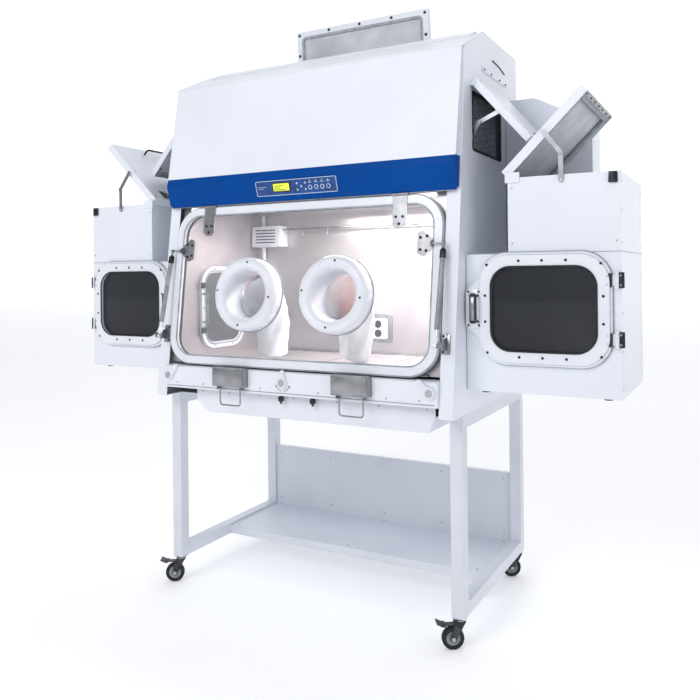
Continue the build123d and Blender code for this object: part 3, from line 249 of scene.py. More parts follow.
def rod(name, points, r, round_steps=3):
    """A round bar or wire through the points, in mm."""
    nothing_selected()
    curve = bpy.data.curves.new(name, "CURVE")
    curve.dimensions = "3D"
    curve.bevel_depth = r * MM
    curve.bevel_resolution = round_steps
    curve.use_fill_caps = True
    spline = curve.splines.new("POLY")
    spline.points.add(len(points) - 1)
    for p, co in zip(spline.points, points):
        p.co = (*[c * MM for c in co], 1)
    obj = bpy.data.objects.new(name, curve)
    bpy.context.collection.objects.link(obj)
    only(obj)
    bpy.ops.object.convert(target="MESH")
    return bpy.context.object


def block(name, w, d, h, edge=1.0, taper=1.0):
    """A block that stands on local z = 0, its top drawn in by the taper."""
    nothing_selected()
    bpy.ops.mesh.primitive_cube_add(size=1, location=(0, 0, 0.5))
    obj = bpy.context.object
    obj.name = name
    obj.scale = (w * MM, d * MM, h * MM)
    obj.location = (0, 0, h * MM / 2)
    bpy.ops.object.transform_apply(location=True, rotation=True, scale=True)
    if taper != 1.0:
        bpy.ops.object.mode_set(mode="EDIT")
        bm = bmesh.from_edit_mesh(obj.data)
        for face in bm.faces:
            face.select_set(face.normal.z > 0.9)
        bm.select_flush_mode()
        bpy.ops.transform.resize(value=(taper, taper, 1), center_override=(0, 0, h * MM))
        bpy.ops.object.mode_set(mode="OBJECT")
    if edge:
        soft_edges(obj, edge)
    return obj


def put(obj, place):
    """Moves the mesh to its place; the object itself stays at the origin."""
    only(obj)
    obj.matrix_world = place
    bpy.ops.object.transform_apply(location=True, rotation=True, scale=True)
    return obj


def copies(obj, places):
    """One piece made of copies of obj at each place."""
    made = []
    for place in places:
        twin = obj.copy()
        twin.data = obj.data.copy()
        bpy.context.collection.objects.link(twin)
        put(twin, place)
        made.append(twin)
    bpy.data.objects.remove(obj, do_unlink=True)
    return joined(made)


def joined(objs, name=None):
    """The objects as one piece, under the name."""
    nothing_selected()
    for o in objs:
        o.select_set(True)
    bpy.context.view_layer.objects.active = objs[0]
    if len(objs) > 1:
        bpy.ops.object.join()
    if name:
        objs[0].name = name
    return objs[0]


def done(obj, body, mat, smooth=35):
    """Gives a finished piece its finish and lets it ride on its body."""
    only(obj)
    bpy.ops.object.shade_smooth_by_angle(angle=radians(smooth))
    obj.data.materials.clear()
    obj.data.materials.append(MATERIALS[mat])
    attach(obj, body)
    return obj


def screw(r=4.5, h=2.6):
    """A pan-head screw with a socket in it."""
    return turned("screw", [(r, 0), (r, h * 0.55), (r * 0.78, h), (r * 0.5, h), (r * 0.44, h * 0.35),
                            (0, h * 0.35)], around=12)


def screws(name, places, body, mat="zinc screw", r=4.5, h=2.6):
    """One piece made of a screw at each place."""
    obj = copies(screw(r, h), places)
    obj.name = name
    return done(obj, body, mat)


# ------------------------------------------------------------------ finishes
MATERIALS = {}


def linear(code):
    """sRGB hex to a linear colour."""
    parts = [int(code[i:i + 2], 16) / 255 for i in (1, 3, 5)]
    return (*[c / 12.92 if c <= 0.04045 else ((c + 0.055) / 1.055) ** 2.4 for c in parts], 1.0)


def node(tree, kind, sockets=None, links=None, **settings):
    """Adds one node with its settings, its constants and what feeds it."""
    made = tree.nodes.new(kind)
    for key, value in settings.items():
        setattr(made, key, value)
    for key, value in (sockets or {}).items():
        made.inputs[key].default_value = value
    for key, (source, out) in (links or {}).items():
        tree.links.new(source.outputs[out], made.inputs[key])
    return made


def finish_of(name, color, **sockets):
    """A new principled finish; returns it with its tree, its shader and Object coordinates."""
    mat = bpy.data.materials.new(name)
    mat.use_nodes = True
    tree = mat.node_tree
    shader = tree.nodes["Principled BSDF"]
    shader.inputs["Base Color"].default_value = linear(color)
    for key, value in sockets.items():
        shader.inputs[key.replace("_", " ")].default_value = value
    MATERIALS[name] = mat
    return tree, shader, node(tree, "ShaderNodeTexCoord")


def mottle(tree, shader, coords, dark, light, size, detail=3.0, low=0.35, high=0.65):
    """Colour that drifts between two tones over patches of that size in mm."""
    noise = node(tree, "ShaderNodeTexNoise", {"Scale": 1000.0 / size, "Detail": detail},
                 {"Vector": (coords, "Object")})
    ramp = node(tree, "ShaderNodeValToRGB", links={"Fac": (noise, "Fac")})
    ramp.color_ramp.elements[0].position, ramp.color_ramp.elements[1].position = low, high
    ramp.color_ramp.elements[0].color, ramp.color_ramp.elements[1].color = linear(dark), linear(light)
    tree.links.new(ramp.outputs["Color"], shader.inputs["Base Color"])


def uneven_gloss(tree, shader, coords, low, high, size):
    """Roughness that varies over patches of that size in mm."""
    noise = node(tree, "ShaderNodeTexNoise", {"Scale": 1000.0 / size, "Detail": 4.0},
                 {"Vector": (coords, "Object")})
    span = node(tree, "ShaderNodeMapRange", {"From Min": 0.3, "From Max": 0.7, "To Min": low,
                                             "To Max": high}, {"Value": (noise, "Fac")})
    tree.links.new(span.outputs["Result"], shader.inputs["Roughness"])


def grain(tree, shader, coords, size, height, stretch=(1, 1, 1), rounded=0.0):
    """Bump of that grain size and height in mm, pulled out along an axis by the stretch."""
    mapping = node(tree, "ShaderNodeMapping", {"Scale": stretch}, {"Vector": (coords, "Object")})
    noise = node(tree, "ShaderNodeTexNoise", {"Scale": 1000.0 / size, "Detail": 2.0},
                 {"Vector": (mapping, "Vector")})
    bump = node(tree, "ShaderNodeBump", {"Strength": 0.5, "Distance": height * MM},
                {"Height": (noise, "Fac")})
    if rounded:
        edge = node(tree, "ShaderNodeBevel", {"Radius": rounded * MM}, samples=4)
        tree.links.new(edge.outputs["Normal"], bump.inputs["Normal"])
    tree.links.new(bump.outputs["Normal"], shader.inputs["Normal"])


def make_finishes(colours):
    """Every finish, under its own name in MATERIALS."""
    # polyester powder coat on sheet steel: a faint orange peel and soft folded edges
    tree, shader, at = finish_of("powder coat white", colours.coat, Roughness=0.4, Coat_Weight=0.15,
                                 Coat_Roughness=0.25)
    mottle(tree, shader, at, "#E1E5EE", colours.coat, 420)
    uneven_gloss(tree, shader, at, 0.34, 0.46, 160)
    grain(tree, shader, at, 2.2, 0.05, rounded=1.6)
    # the same coat on the stand's square tube, painted a shade darker than the cabinet's as painted shade
    tree, shader, at = finish_of("powder coat stand", "#E6EAF3", Roughness=0.42)
    # painted shade: the stand's tones are set darker than the cabinet's coat
    mottle(tree, shader, at, "#D3D7E0", "#DADEE6", 300)
    uneven_gloss(tree, shader, at, 0.36, 0.5, 110)
    grain(tree, shader, at, 2.0, 0.06, rounded=2.4)
    # satin blue stove enamel on the fascia: a deep, even colour with little glare
    tree, shader, at = finish_of("stoved enamel blue", colours.fascia, Roughness=0.4,
                                 Specular_IOR_Level=0.06)
    mottle(tree, shader, at, "#03438E", colours.fascia, 260)
    grain(tree, shader, at, 3.0, 0.03, rounded=1.6)
    # moulded glossy white PVC of port rings and levers: smooth, with a slight milky depth
    tree, shader, at = finish_of("moulded white PVC", "#F1F4FA", Roughness=0.26,
                                 Subsurface_Weight=0.08, Subsurface_Scale=0.004)
    mottle(tree, shader, at, "#DFE2E9", "#E5E8EF", 180)
    uneven_gloss(tree, shader, at, 0.2, 0.32, 90)
    grain(tree, shader, at, 4.0, 0.03)
    # gel-coated white glass fibre of the pass doors: slightly glossier than the cabinet's coat
    tree, shader, at = finish_of("gel coat white", "#EDF1F9", Roughness=0.3, Coat_Weight=0.3,
                                 Coat_Roughness=0.12)
    mottle(tree, shader, at, "#E0E4EC", "#E6EAF1", 240)
    grain(tree, shader, at, 2.4, 0.04, rounded=1.4)
    # brushed 304 stainless of the straps and clamps: fine lines that run up and down
    tree, shader, at = finish_of("brushed stainless", "#9C9DA1", Metallic=1.0, Roughness=0.32)
    mottle(tree, shader, at, "#929397", "#A5A6AA", 60)
    uneven_gloss(tree, shader, at, 0.24, 0.38, 40)
    grain(tree, shader, at, 2.5, 0.05, stretch=(6, 6, 0.25), rounded=0.8)
    # 2B rolled stainless of the chamber: lines run along the sheet, with a warm, cloudy lustre
    tree, shader, at = finish_of("rolled stainless chamber", "#C3BEC1", Metallic=0.8, Roughness=0.36)
    mottle(tree, shader, at, "#BEB8BC", "#CCC7C9", 130, low=0.3, high=0.7)
    uneven_gloss(tree, shader, at, 0.33, 0.4, 70)
    grain(tree, shader, at, 3.5, 0.05, stretch=(0.3, 4, 4))
    # bright zinc plate on screw heads and hinge pins: small sharp glints
    tree, shader, at = finish_of("zinc screw", "#B9BBBE", Metallic=1.0, Roughness=0.28)
    uneven_gloss(tree, shader, at, 0.2, 0.4, 6)
    # hard-chromed strut rod: a mirror line down its length
    tree, shader, at = finish_of("chromed rod", "#D9DBDD", Metallic=1.0, Roughness=0.12)
    uneven_gloss(tree, shader, at, 0.08, 0.18, 30)
    # grey paint on the strut's cylinder: satin, with faint runs
    tree, shader, at = finish_of("grey strut paint", "#8C9094", Roughness=0.38, Metallic=0.2)
    mottle(tree, shader, at, "#7B7F84", "#96999D", 45)
    grain(tree, shader, at, 2.0, 0.04)
    # black oxide on hinges, catches and bolts: nearly black with worn grey patches
    tree, shader, at = finish_of("black oxide steel", "#23252A", Metallic=0.6, Roughness=0.42)
    mottle(tree, shader, at, "#15171A", "#3A3D42", 22)
    uneven_gloss(tree, shader, at, 0.32, 0.55, 14)
    # black nitrile rubber of seals and tyres: matt, dusty in patches
    tree, shader, at = finish_of("black nitrile rubber", "#16171A", Roughness=0.72)
    mottle(tree, shader, at, "#101114", "#26282C", 35)
    grain(tree, shader, at, 1.8, 0.12)
    # grey foam seal in lids and the hatch: matt closed-cell foam
    tree, shader, at = finish_of("grey foam seal", "#A6ABB2", Roughness=0.85)
    mottle(tree, shader, at, "#969BA3", "#B3B8BF", 18)
    grain(tree, shader, at, 2.2, 0.25)
    # grey painted recess inside lids, covers and the hatch
    tree, shader, at = finish_of("grey lining paint", "#C9CDD3", Roughness=0.5)
    mottle(tree, shader, at, "#B8BDC5", "#D2D6DB", 120)
    grain(tree, shader, at, 2.4, 0.08)
    # silicone seal round the window, translucent grey
    tree, shader, at = finish_of("grey silicone seal", "#9EA5AE", Roughness=0.45)
    mottle(tree, shader, at, "#8A919B", "#ABB1B9", 40)
    grain(tree, shader, at, 2.0, 0.05)
    # chlorosulphonated rubber sleeve: soft white, satin, with light in its folds
    tree, shader, at = finish_of("white sleeve rubber", "#F3F4F9", Roughness=0.48,
                                 Subsurface_Weight=0.15, Subsurface_Scale=0.006)
    mottle(tree, shader, at, "#ECEEF5", "#F6F7FB", 70)
    grain(tree, shader, at, 9.0, 0.5, stretch=(1, 1, 0.6))
    # laminated clear glass of the window: a faint blue-green cast
    glassy("laminated clear glass", "#F4FAFC", 0.012, 1.5, 0.07)
    # grey acrylic of the pass doors
    glassy("smoked acrylic", "#2B2E34", 0.03, 1.49, 0.45)
    # backlit liquid-crystal screen: yellow-green, with a coarse cell pattern
    tree, shader, at = finish_of("liquid crystal screen", "#D6E43B", Roughness=0.2,
                                 Emission_Strength=0.7)
    cells = node(tree, "ShaderNodeTexChecker", {"Scale": 1000.0 / 3.0, "Color1": linear("#D9E64A"),
                                               "Color2": linear("#C3D22E")}, {"Vector": (at, "Object")})
    tree.links.new(cells.outputs["Color"], shader.inputs["Base Color"])
    tree.links.new(cells.outputs["Color"], shader.inputs["Emission Color"])
    # printed polyester keypad film: dark blue, satin, pebbled
    tree, shader, at = finish_of("keypad film blue", "#0B3F85", Roughness=0.34)
    mottle(tree, shader, at, "#08356F", "#114A97", 25)
    grain(tree, shader, at, 1.5, 0.05)
    # printed pale ink for rings, arrows and bars on the film
    tree, shader, at = finish_of("pale ink", "#C9DAF2", Roughness=0.4)
    mottle(tree, shader, at, "#B4C9E8", "#D5E3F6", 8)
    # opal acrylic over the lamp: glows evenly
    tree, shader, at = finish_of("lit opal acrylic", "#FFF6F2", Roughness=0.35,
                                 Emission_Strength=1.4)
    mottle(tree, shader, at, "#FFEDE6", "#FFFAF8", 200)
    shader.inputs["Emission Color"].default_value = linear("#FFF3EE")
    # pleated glass-fibre filter paper behind a mesh: fine vertical pleats, with painted shade in the folds
    # and painted light on the ridges
    tree, shader, at = finish_of("pleated filter paper", "#8F949B", Roughness=0.8)
    pleats = node(tree, "ShaderNodeTexWave", {"Scale": 1000.0 / 60.0, "Distortion": 0.4},
                  {"Vector": (at, "Object")}, bands_direction="Y")
    # painted light and shade across each pleat: dark in the fold, light on the ridge
    shade = node(tree, "ShaderNodeValToRGB", links={"Fac": (pleats, "Fac")})
    shade.color_ramp.elements[0].color = linear("#7C8087")
    shade.color_ramp.elements[1].color = linear("#CDD0D5")
    tree.links.new(shade.outputs["Color"], shader.inputs["Base Color"])
    folds = node(tree, "ShaderNodeBump", {"Strength": 0.8, "Distance": 0.004},
                 {"Height": (pleats, "Fac")})
    tree.links.new(folds.outputs["Normal"], shader.inputs["Normal"])
    # dark powder coat on the caster forks
    tree, shader, at = finish_of("dark caster coat", "#34373D", Metallic=0.4, Roughness=0.4)
    mottle(tree, shader, at, "#24272B", "#43474D", 18)
    grain(tree, shader, at, 1.6, 0.08, rounded=0.8)
    # black nylon of pedals, knobs and pads: satin with a moulded grain; the same black also stands as painted
    # shade in the grille holes and instrument slots
    tree, shader, at = finish_of("black moulded nylon and painted shade", "#1B1D21", Roughness=0.46)
    mottle(tree, shader, at, "#141619", "#2A2D32", 20)
    grain(tree, shader, at, 1.4, 0.1)
    # studio floor: seamless white paper
    tree, shader, at = finish_of("seamless white paper", "#FBFBFC", Roughness=0.9,
                                 Emission_Strength=0.2)
    mottle(tree, shader, at, "#FAFAFB", "#FCFCFD", 900)
    shader.inputs["Emission Color"].default_value = (1, 1, 1, 1)
    # lit backdrop: an evenly glowing white cloth
    tree, shader, at = finish_of("lit white cloth", "#FFFFFF", Roughness=1.0, Emission_Strength=0.62)
    mottle(tree, shader, at, "#F6F6F8", "#FAFAFB", 900)
    shader.inputs["Emission Color"].default_value = (1, 1, 1, 1)


def glassy(name, tint, rough, ior, alpha):
    """A clear or smoked sheet: light passes it by as much as alpha is under one."""
    tree, shader, at = finish_of(name, tint, Roughness=rough, IOR=ior)
    shader.inputs["Alpha"].default_value = alpha
    shader.inputs["Specular IOR Level"].default_value = 0.6


COAT = {
    "stand_frame": "powder coat stand", "stand_shelf": "powder coat stand",
    "stand_panel": "powder coat stand", "cabinet_shell": "powder coat white",
    "chamber_liner": "rolled stainless chamber", "front_ledge": "powder coat white",
    "under_pan": "powder coat white", "hood_front": "powder coat white",
    "hood_top": "powder coat white", "fascia": "stoved enamel blue",
    "control_panel": "keypad film blue", "filters_and_fans": "pleated filter paper",
    "front_fittings": "brushed stainless", "pass_boxes": "powder coat white",
    "rear_ducts": "powder coat white", "window_frame": "gel coat white",
    "window_glass": "laminated clear glass", "glove_rings": "moulded white PVC",
    "window_fittings": "brushed stainless", "top_hatch": "powder coat white",
    "caster_fork": "dark caster coat", "caster_wheel": "black nitrile rubber",
    "caster_pedal": "black moulded nylon and painted shade", "strut_rod": "chromed rod",
    "strut_tube": "grey strut paint", "latch_lever": "moulded white PVC",
    "clamp_bail": "brushed stainless", "pass_door": "gel coat white",
    "door_glass": "smoked acrylic", "door_handle": "black moulded nylon and painted shade",
    "pass_lid": "powder coat white", "side_cover": "powder coat white",
    "lid_stay": "brushed stainless", "cover_stay": "brushed stainless",
    "inner_door": "gel coat white", "glove_sleeves": "white sleeve rubber",
}


# ------------------------------------------------------------------ settings a user would change
class GloveBoxColours(bpy.types.PropertyGroup):
    """Colours of the large painted pieces."""
    coat: bpy.props.StringProperty(name="Powder coat", description="Hex colour of the cabinet's coat",
                                   default="#E6EAF2")
    fascia: bpy.props.StringProperty(name="Fascia", description="Hex colour of the fascia's enamel",
                                     default="#034896")


class GloveBoxSizes(bpy.types.PropertyGroup):
    """Sizes of the fine pieces."""
    window_seal: bpy.props.FloatProperty(name="Window seal", description="Width of the window's seal",
                                         default=0.005, min=0.002, max=0.006, unit="LENGTH")
    sleeve_wrinkle: bpy.props.FloatProperty(name="Sleeve wrinkles",
                                            description="Depth of the folds in the sleeves",
                                            default=0.004, min=0.0, max=0.01, unit="LENGTH")
    mesh_pitch: bpy.props.FloatProperty(name="Guard pitch", description="Pitch of the filter guard",
                                        default=0.016, min=0.008, max=0.03, unit="LENGTH")
    lamp_power: bpy.props.FloatProperty(name="Lamp power", description="Power of the chamber lamp",
                                        default=13.0, min=0.0, max=60.0, subtype="POWER")


class GLOVEBOX_OT_finishes(bpy.types.Operator):
    """Make every finish and coat the model's own pieces"""
    bl_idname = "glovebox.finishes"
    bl_label = "Finishes"

    def execute(self, context):
        make_finishes(context.scene.glovebox_colours)
        for name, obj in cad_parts.items():
            finish = next(v for k, v in sorted(COAT.items(), key=lambda kv: -len(kv[0]))
                          if name.startswith(k))
            for i in range(max(1, len(obj.material_slots))):
                if i < len(obj.material_slots):
                    obj.material_slots[i].material = MATERIALS[finish]
                else:
                    obj.data.materials.append(MATERIALS[finish])
        return {"FINISHED"}


class GLOVEBOX_OT_window(bpy.types.Operator):
    """Seals, port rings, screws and strut ends of the window"""
    bl_idname = "glovebox.window"
    bl_label = "Window"

    def execute(self, context):
        seal = context.scene.glovebox_sizes.window_seal / MM
        outer = plate("window_outer_seal", WINDOW_WIDTH + 2 * seal, WINDOW_HEIGHT + 2 * seal, 14,
                      110 + seal, seal, 1.0, 16)
        done(put(outer, raked(WINDOW_MID, -6)), "window", "grey silicone seal")
        inner = plate("window_inner_seal", 1100, 564, 3.5, 82, 6, 1.0, 16)
        done(put(inner, raked(WINDOW_MID, 8.2)), "window", "grey silicone seal")
        inside = plate("window_inside_seal", 1120, 584, 9, 92, 12, 1.5, 16)
        done(put(inside, raked(WINDOW_MID, -18)), "window", "black nitrile rubber")
        # port rings, with a bead of seal against the glass and a lip that the sleeve grips
        ring = turned("port_ring", [(84, -50), (86, -20), (88, 6), (91, 34), (97, 52), (106, 60), (116, 62.4),
                                    (126, 60.5), (134, 54), (139, 44), (140.2, 32), (140.2, 3),
                                    (138, 0.4), (99.5, 0.4), (99.5, -8), (97, -12), (96, -48)],
                      closed=True, around=72)
        lip = turned("port_lip", [(99, -52), (103, -49), (103, -44), (99, -41), (96.5, -43),
                                  (96.5, -50)], closed=True, around=72)
        bead = turned("port_bead", [(140.2, 0.2), (143.5, 0.2), (143.5, 2.2), (140.2, 3.4)],
                      closed=True, around=72)
        places = [raked(PORT_DROP, 8, s * PORT_X) for name, s in SIDES]
        ring, lip, bead = copies(ring, places), copies(lip, places), copies(bead, places)
        ring.name = "port_rings"
        lip.name = "port_lips"
        bead.name = "port_beads"
        done(ring, "window", "moulded white PVC", smooth=60)
        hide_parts("glove_rings")
        screws("port_screws", [place @ Matrix.Translation((119 * MM * cos(radians(a)), 119 * MM *
                                                           sin(radians(a)), 61.6 * MM))
                               for place in places for a in (84, 174, 264, 354)], "window",
               "black oxide steel", r=4.2, h=1.6)
        done(lip, "window", "black nitrile rubber")
        done(bead, "window", "grey silicone seal")
        # screws in the hinge straps and in the strut plates
        spots = [raked(HINGE_DROP + d, 15.2, s * 418 + x) for name, s in SIDES
                 for x, d in ((-13, 79), (13, 79), (0, 104))]
        spots += [raked(184 + d, 11.6, s * x) for name, s in SIDES
                  for x, d in ((500, -22), (524, -26), (500, 20), (522, 24))]
        screws("window_screws", spots, "window", "black oxide steel", r=5.0, h=3.2)
        # black clevises at the strut heads
        for name, s in SIDES:
            x = s * STRUT_X
            collar = turned(f"strut_collar_{name}", [(9.2, 0), (11, 2), (11, 26), (9, 30), (5.2, 34),
                                                     (5.2, 0)], closed=True, around=24)
            along = Vector((0, 82, 335)).normalized()
            base = basis((x, FRONT - 37, STRUT_HEAD_Z), (1, 0, 0), along)
            done(put(collar, base @ Matrix.Translation((0, 0, -0.052))), f"strut_tube_{name}",
                 "black oxide steel")
            foot = turned(f"strut_foot_{name}", [(4.4, 0), (8, 0), (9, 3), (9, 14), (6.5, 20), (4.4, 20)],
                          closed=True, around=24)
            base = basis((x, FRONT - 119, STRUT_FOOT_Z), (1, 0, 0), along)
            done(put(foot, base @ Matrix.Translation((0, 0, 0.010))), f"strut_rod_{name}",
                 "moulded white PVC")
        return {"FINISHED"}


class GLOVEBOX_OT_sleeves(bpy.types.Operator):
    """Two rubber sleeves that hang from the port rings and lie on the chamber floor"""
    bl_idname = "glovebox.sleeves"
    bl_label = "Glove sleeves"

    def execute(self, context):
        depth = context.scene.glovebox_sizes.sleeve_wrinkle
        made, ends = [], []
        for (name, s), foot in zip(SIDES, ((-229.0, 140.0), (133.0, 189.0))):
            port = raked(PORT_DROP, -46, s * PORT_X)
            start = port.translation / MM
            inward = -(port.to_3x3() @ Vector((0, 0, 1)))
            end = Vector((foot[0], FRONT + foot[1], FLOOR + 26))
            bend = start + inward * 105 + Vector((0, 0, -36))
            ends.append(((start * MM)[:], (end - start).normalized()[:]))
            rings = []
            steps = 26
            for i in range(steps + 1):
                t = i / steps
                at = start * (1 - t) ** 2 + bend * (2 * t * (1 - t)) + end * t ** 2
                way = ((bend - start) * (1 - t) + (end - bend) * t).normalized()
                r = 84 - 26 * t + 2.2 * sin(t * 34) * min(1, 4 * t) + 5 * sin(t * 9 + s) * t * (1 - t)
                rings.append((at, way, r))
            bpy.ops.object.select_all(action="DESELECT")
            bpy.ops.mesh.primitive_circle_add(vertices=64, radius=0.084, fill_type="NOTHING")
            sleeve = bpy.context.object
            sleeve.name = f"sleeve_{name}"
            bpy.ops.object.mode_set(mode="EDIT")
            bpy.ops.mesh.select_all(action="SELECT")
            for k, (at, way, r) in enumerate(rings):
                if k:
                    bpy.ops.mesh.extrude_region_move(TRANSFORM_OT_translate={"value": (0, 0, 0.001)})
                bm = bmesh.from_edit_mesh(sleeve.data)
                side = Vector((1, 0, 0))
                side = (side - way * side.dot(way)).normalized()
                up = way.cross(side)
                chosen = [v for v in bm.verts if v.select]
                around = {v: i for i, v in enumerate(order_loop(chosen))}
                for v, i in around.items():
                    a = 2 * pi * i / len(around)
                    t = k / steps
                    fold = depth / MM * (sin(3 * a + 5 * t + s) + 0.6 * sin(7 * a - 13 * t)) * min(1, 3 * t)
                    p = at + side * (r + fold) * cos(a) + up * (r * (1 - 0.1 * t) + fold) * sin(a)
                    p.z = max(p.z, FLOOR + 1.0)
                    v.co = p * MM
                bmesh.update_edit_mesh(sleeve.data)
            bpy.ops.mesh.extrude_region_move(TRANSFORM_OT_translate={"value": (0, 0.012, 0)})
            bpy.ops.transform.resize(value=(0.6, 0.6, 0.6), center_override=(rings[-1][0] * MM)[:])
            bpy.ops.mesh.edge_face_add()
            bpy.ops.mesh.select_all(action="SELECT")
            bpy.ops.mesh.normals_make_consistent(inside=False)
            bpy.ops.object.mode_set(mode="OBJECT")
            modifier(sleeve, "SOLIDIFY", thickness=0.0012, offset=-1.0)
            modifier(sleeve, "SUBSURF", levels=1, render_levels=1)
            made.append(sleeve)
        for (name, s), sleeve, (x, way) in zip(SIDES, made, ends):
            done(sleeve, "window", "white sleeve rubber", smooth=80)
            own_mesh(sleeve)
        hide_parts("glove_sleeves")
        return {"FINISHED"}


def order_loop(verts):
    """The vertices of one open-ended ring in order round it."""
    chosen = set(verts)
    first = verts[0]
    order, seen, last = [first], {first}, first
    while len(order) < len(verts):
        step = None
        for e in last.link_edges:
            other = e.other_vert(last)
            if other in chosen and other not in seen:
                step = other
                break
        if step is None:
            break
        order.append(step)
        seen.add(step)
        last = step
    return order


class GLOVEBOX_OT_ledge(bpy.types.Operator):
    """Bosses, arcs, knobs and clamp screws on the ledge under the window"""
    bl_idname = "glovebox.ledge"
    bl_label = "Ledge"

    def execute(self, context):
        face = FRONT - LEDGE_REACH
        pivots = {"left": (-HALF + 76, 45), "middle": (LEVER_X, 90), "right": (HALF - 76, 135)}
        for name, (x, turn) in pivots.items():
            cap = turned(f"lever_cap_{name}", [(13, 0), (13, 1.5), (11.5, 3), (5, 3), (4.4, 1.2), (0, 1.2)],
                         around=28)
            done(put(cap, facing(x, face - 12.4, SILL - LEVER_DROP)), f"latch_lever_{name}",
                 "zinc screw")
            rib = block(f"lever_rib_{name}", 22 if name == "middle" else 34, 7, 2.6, 1.2, 0.8)
            reach = 24 if name == "middle" else 32
            at = facing(x, face - 12.4, SILL - LEVER_DROP) @ Matrix.Rotation(radians(turn), 4, "Z")
            done(put(rib, at @ Matrix.Translation((reach * MM, 0, -0.0004))), f"latch_lever_{name}",
                 "moulded white PVC")
        # printed arcs that show how far the middle lever turns
        arcs = []
        for low, high in ((200, 262), (278, 340)):
            arc = [(LEVER_X + LEVER_SWEEP * cos(radians(a)), face - 0.5,
                    SILL - LEVER_DROP + LEVER_SWEEP * sin(radians(a)))
                   for a in range(low, high + 1, 6)]
            arcs.append(rod("arc", arc, 0.9))
        for a in (200, 340):
            x = LEVER_X + LEVER_SWEEP * cos(radians(a))
            z = SILL - LEVER_DROP + LEVER_SWEEP * sin(radians(a))
            arcs.append(rod("barb", [(x - 4, face - 0.5, z - 5), (x, face - 0.5, z + 1),
                                     (x + 4, face - 0.5, z - 5)], 0.9))
        done(joined(arcs, "lever_arcs"), "cabinet", "black moulded nylon and painted shade")
        for x, name in ((-45, "a"), (92, "b")):
            knob = turned(f"ledge_knob_{name}", [(4, 0), (4, 6), (10, 8), (11, 12), (11, 22), (8, 26),
                                                 (4, 27), (4, 34), (0, 35)], around=20)
            done(put(knob, level(x, face + 26, SILL - 86.8, down=True)), "cabinet",
                 "black moulded nylon and painted shade")
        # clamp boxes: folded cover plate and its screws
        for x, (name, s) in zip(CLAMP_X, SIDES):
            low, high = 848, 918
            lid = plate(f"clamp_plate_{name}", 140, 60, 2.2, 4, edge=0.8)
            done(put(lid, facing(x, face - 30, (low + high) / 2 + 2)), "cabinet",
                 "brushed stainless")
            screws(f"clamp_screws_{name}", [facing(x + dx, face - 32.2, (low + high) / 2 + dz)
                                            for dx in (-60, 60) for dz in (-20, 24)], "cabinet", r=3.6)
        # seam and fixing screws along the ledge and under it
        seam = plate("ledge_trim", 1150, 3, 1.2, edge=0.4)
        done(put(seam, facing(0, face - 0.1, SILL - 78)), "cabinet", "grey silicone seal")
        screws("ledge_screws", [facing(x, face, SILL - 66) for x in (-520, -390, -120, 130, 400, 520)],
               "cabinet", r=3.4, h=1.8)
        screws("pan_screws", [facing(x, FRONT - 50, 812) for x in (-430, -300, -150, 0, 180, 350, 530)],
               "cabinet", r=3.2, h=1.8)
        # strut foot brackets: backing plates bolted to the posts
        for name, s in SIDES:
            pad = plate(f"strut_pad_{name}", 34, 70, 3, 6, edge=0.8)
            z = STRUT_FOOT_Z
            at = basis((s * 601, FRONT + 10 - (HEAD - z) * sin(RAKE) / cos(RAKE) - 0.2, z), (1, 0, 0),
                       (0, -cos(RAKE), sin(RAKE)))
            done(put(pad, at), "cabinet", "brushed stainless")
            screws(f"strut_pad_screws_{name}",
                   [at @ Matrix.Translation((-0.008 * s, d * MM, 0.003)) for d in (-26, 26)], "cabinet",
                   "black oxide steel", r=4.2)
        return {"FINISHED"}


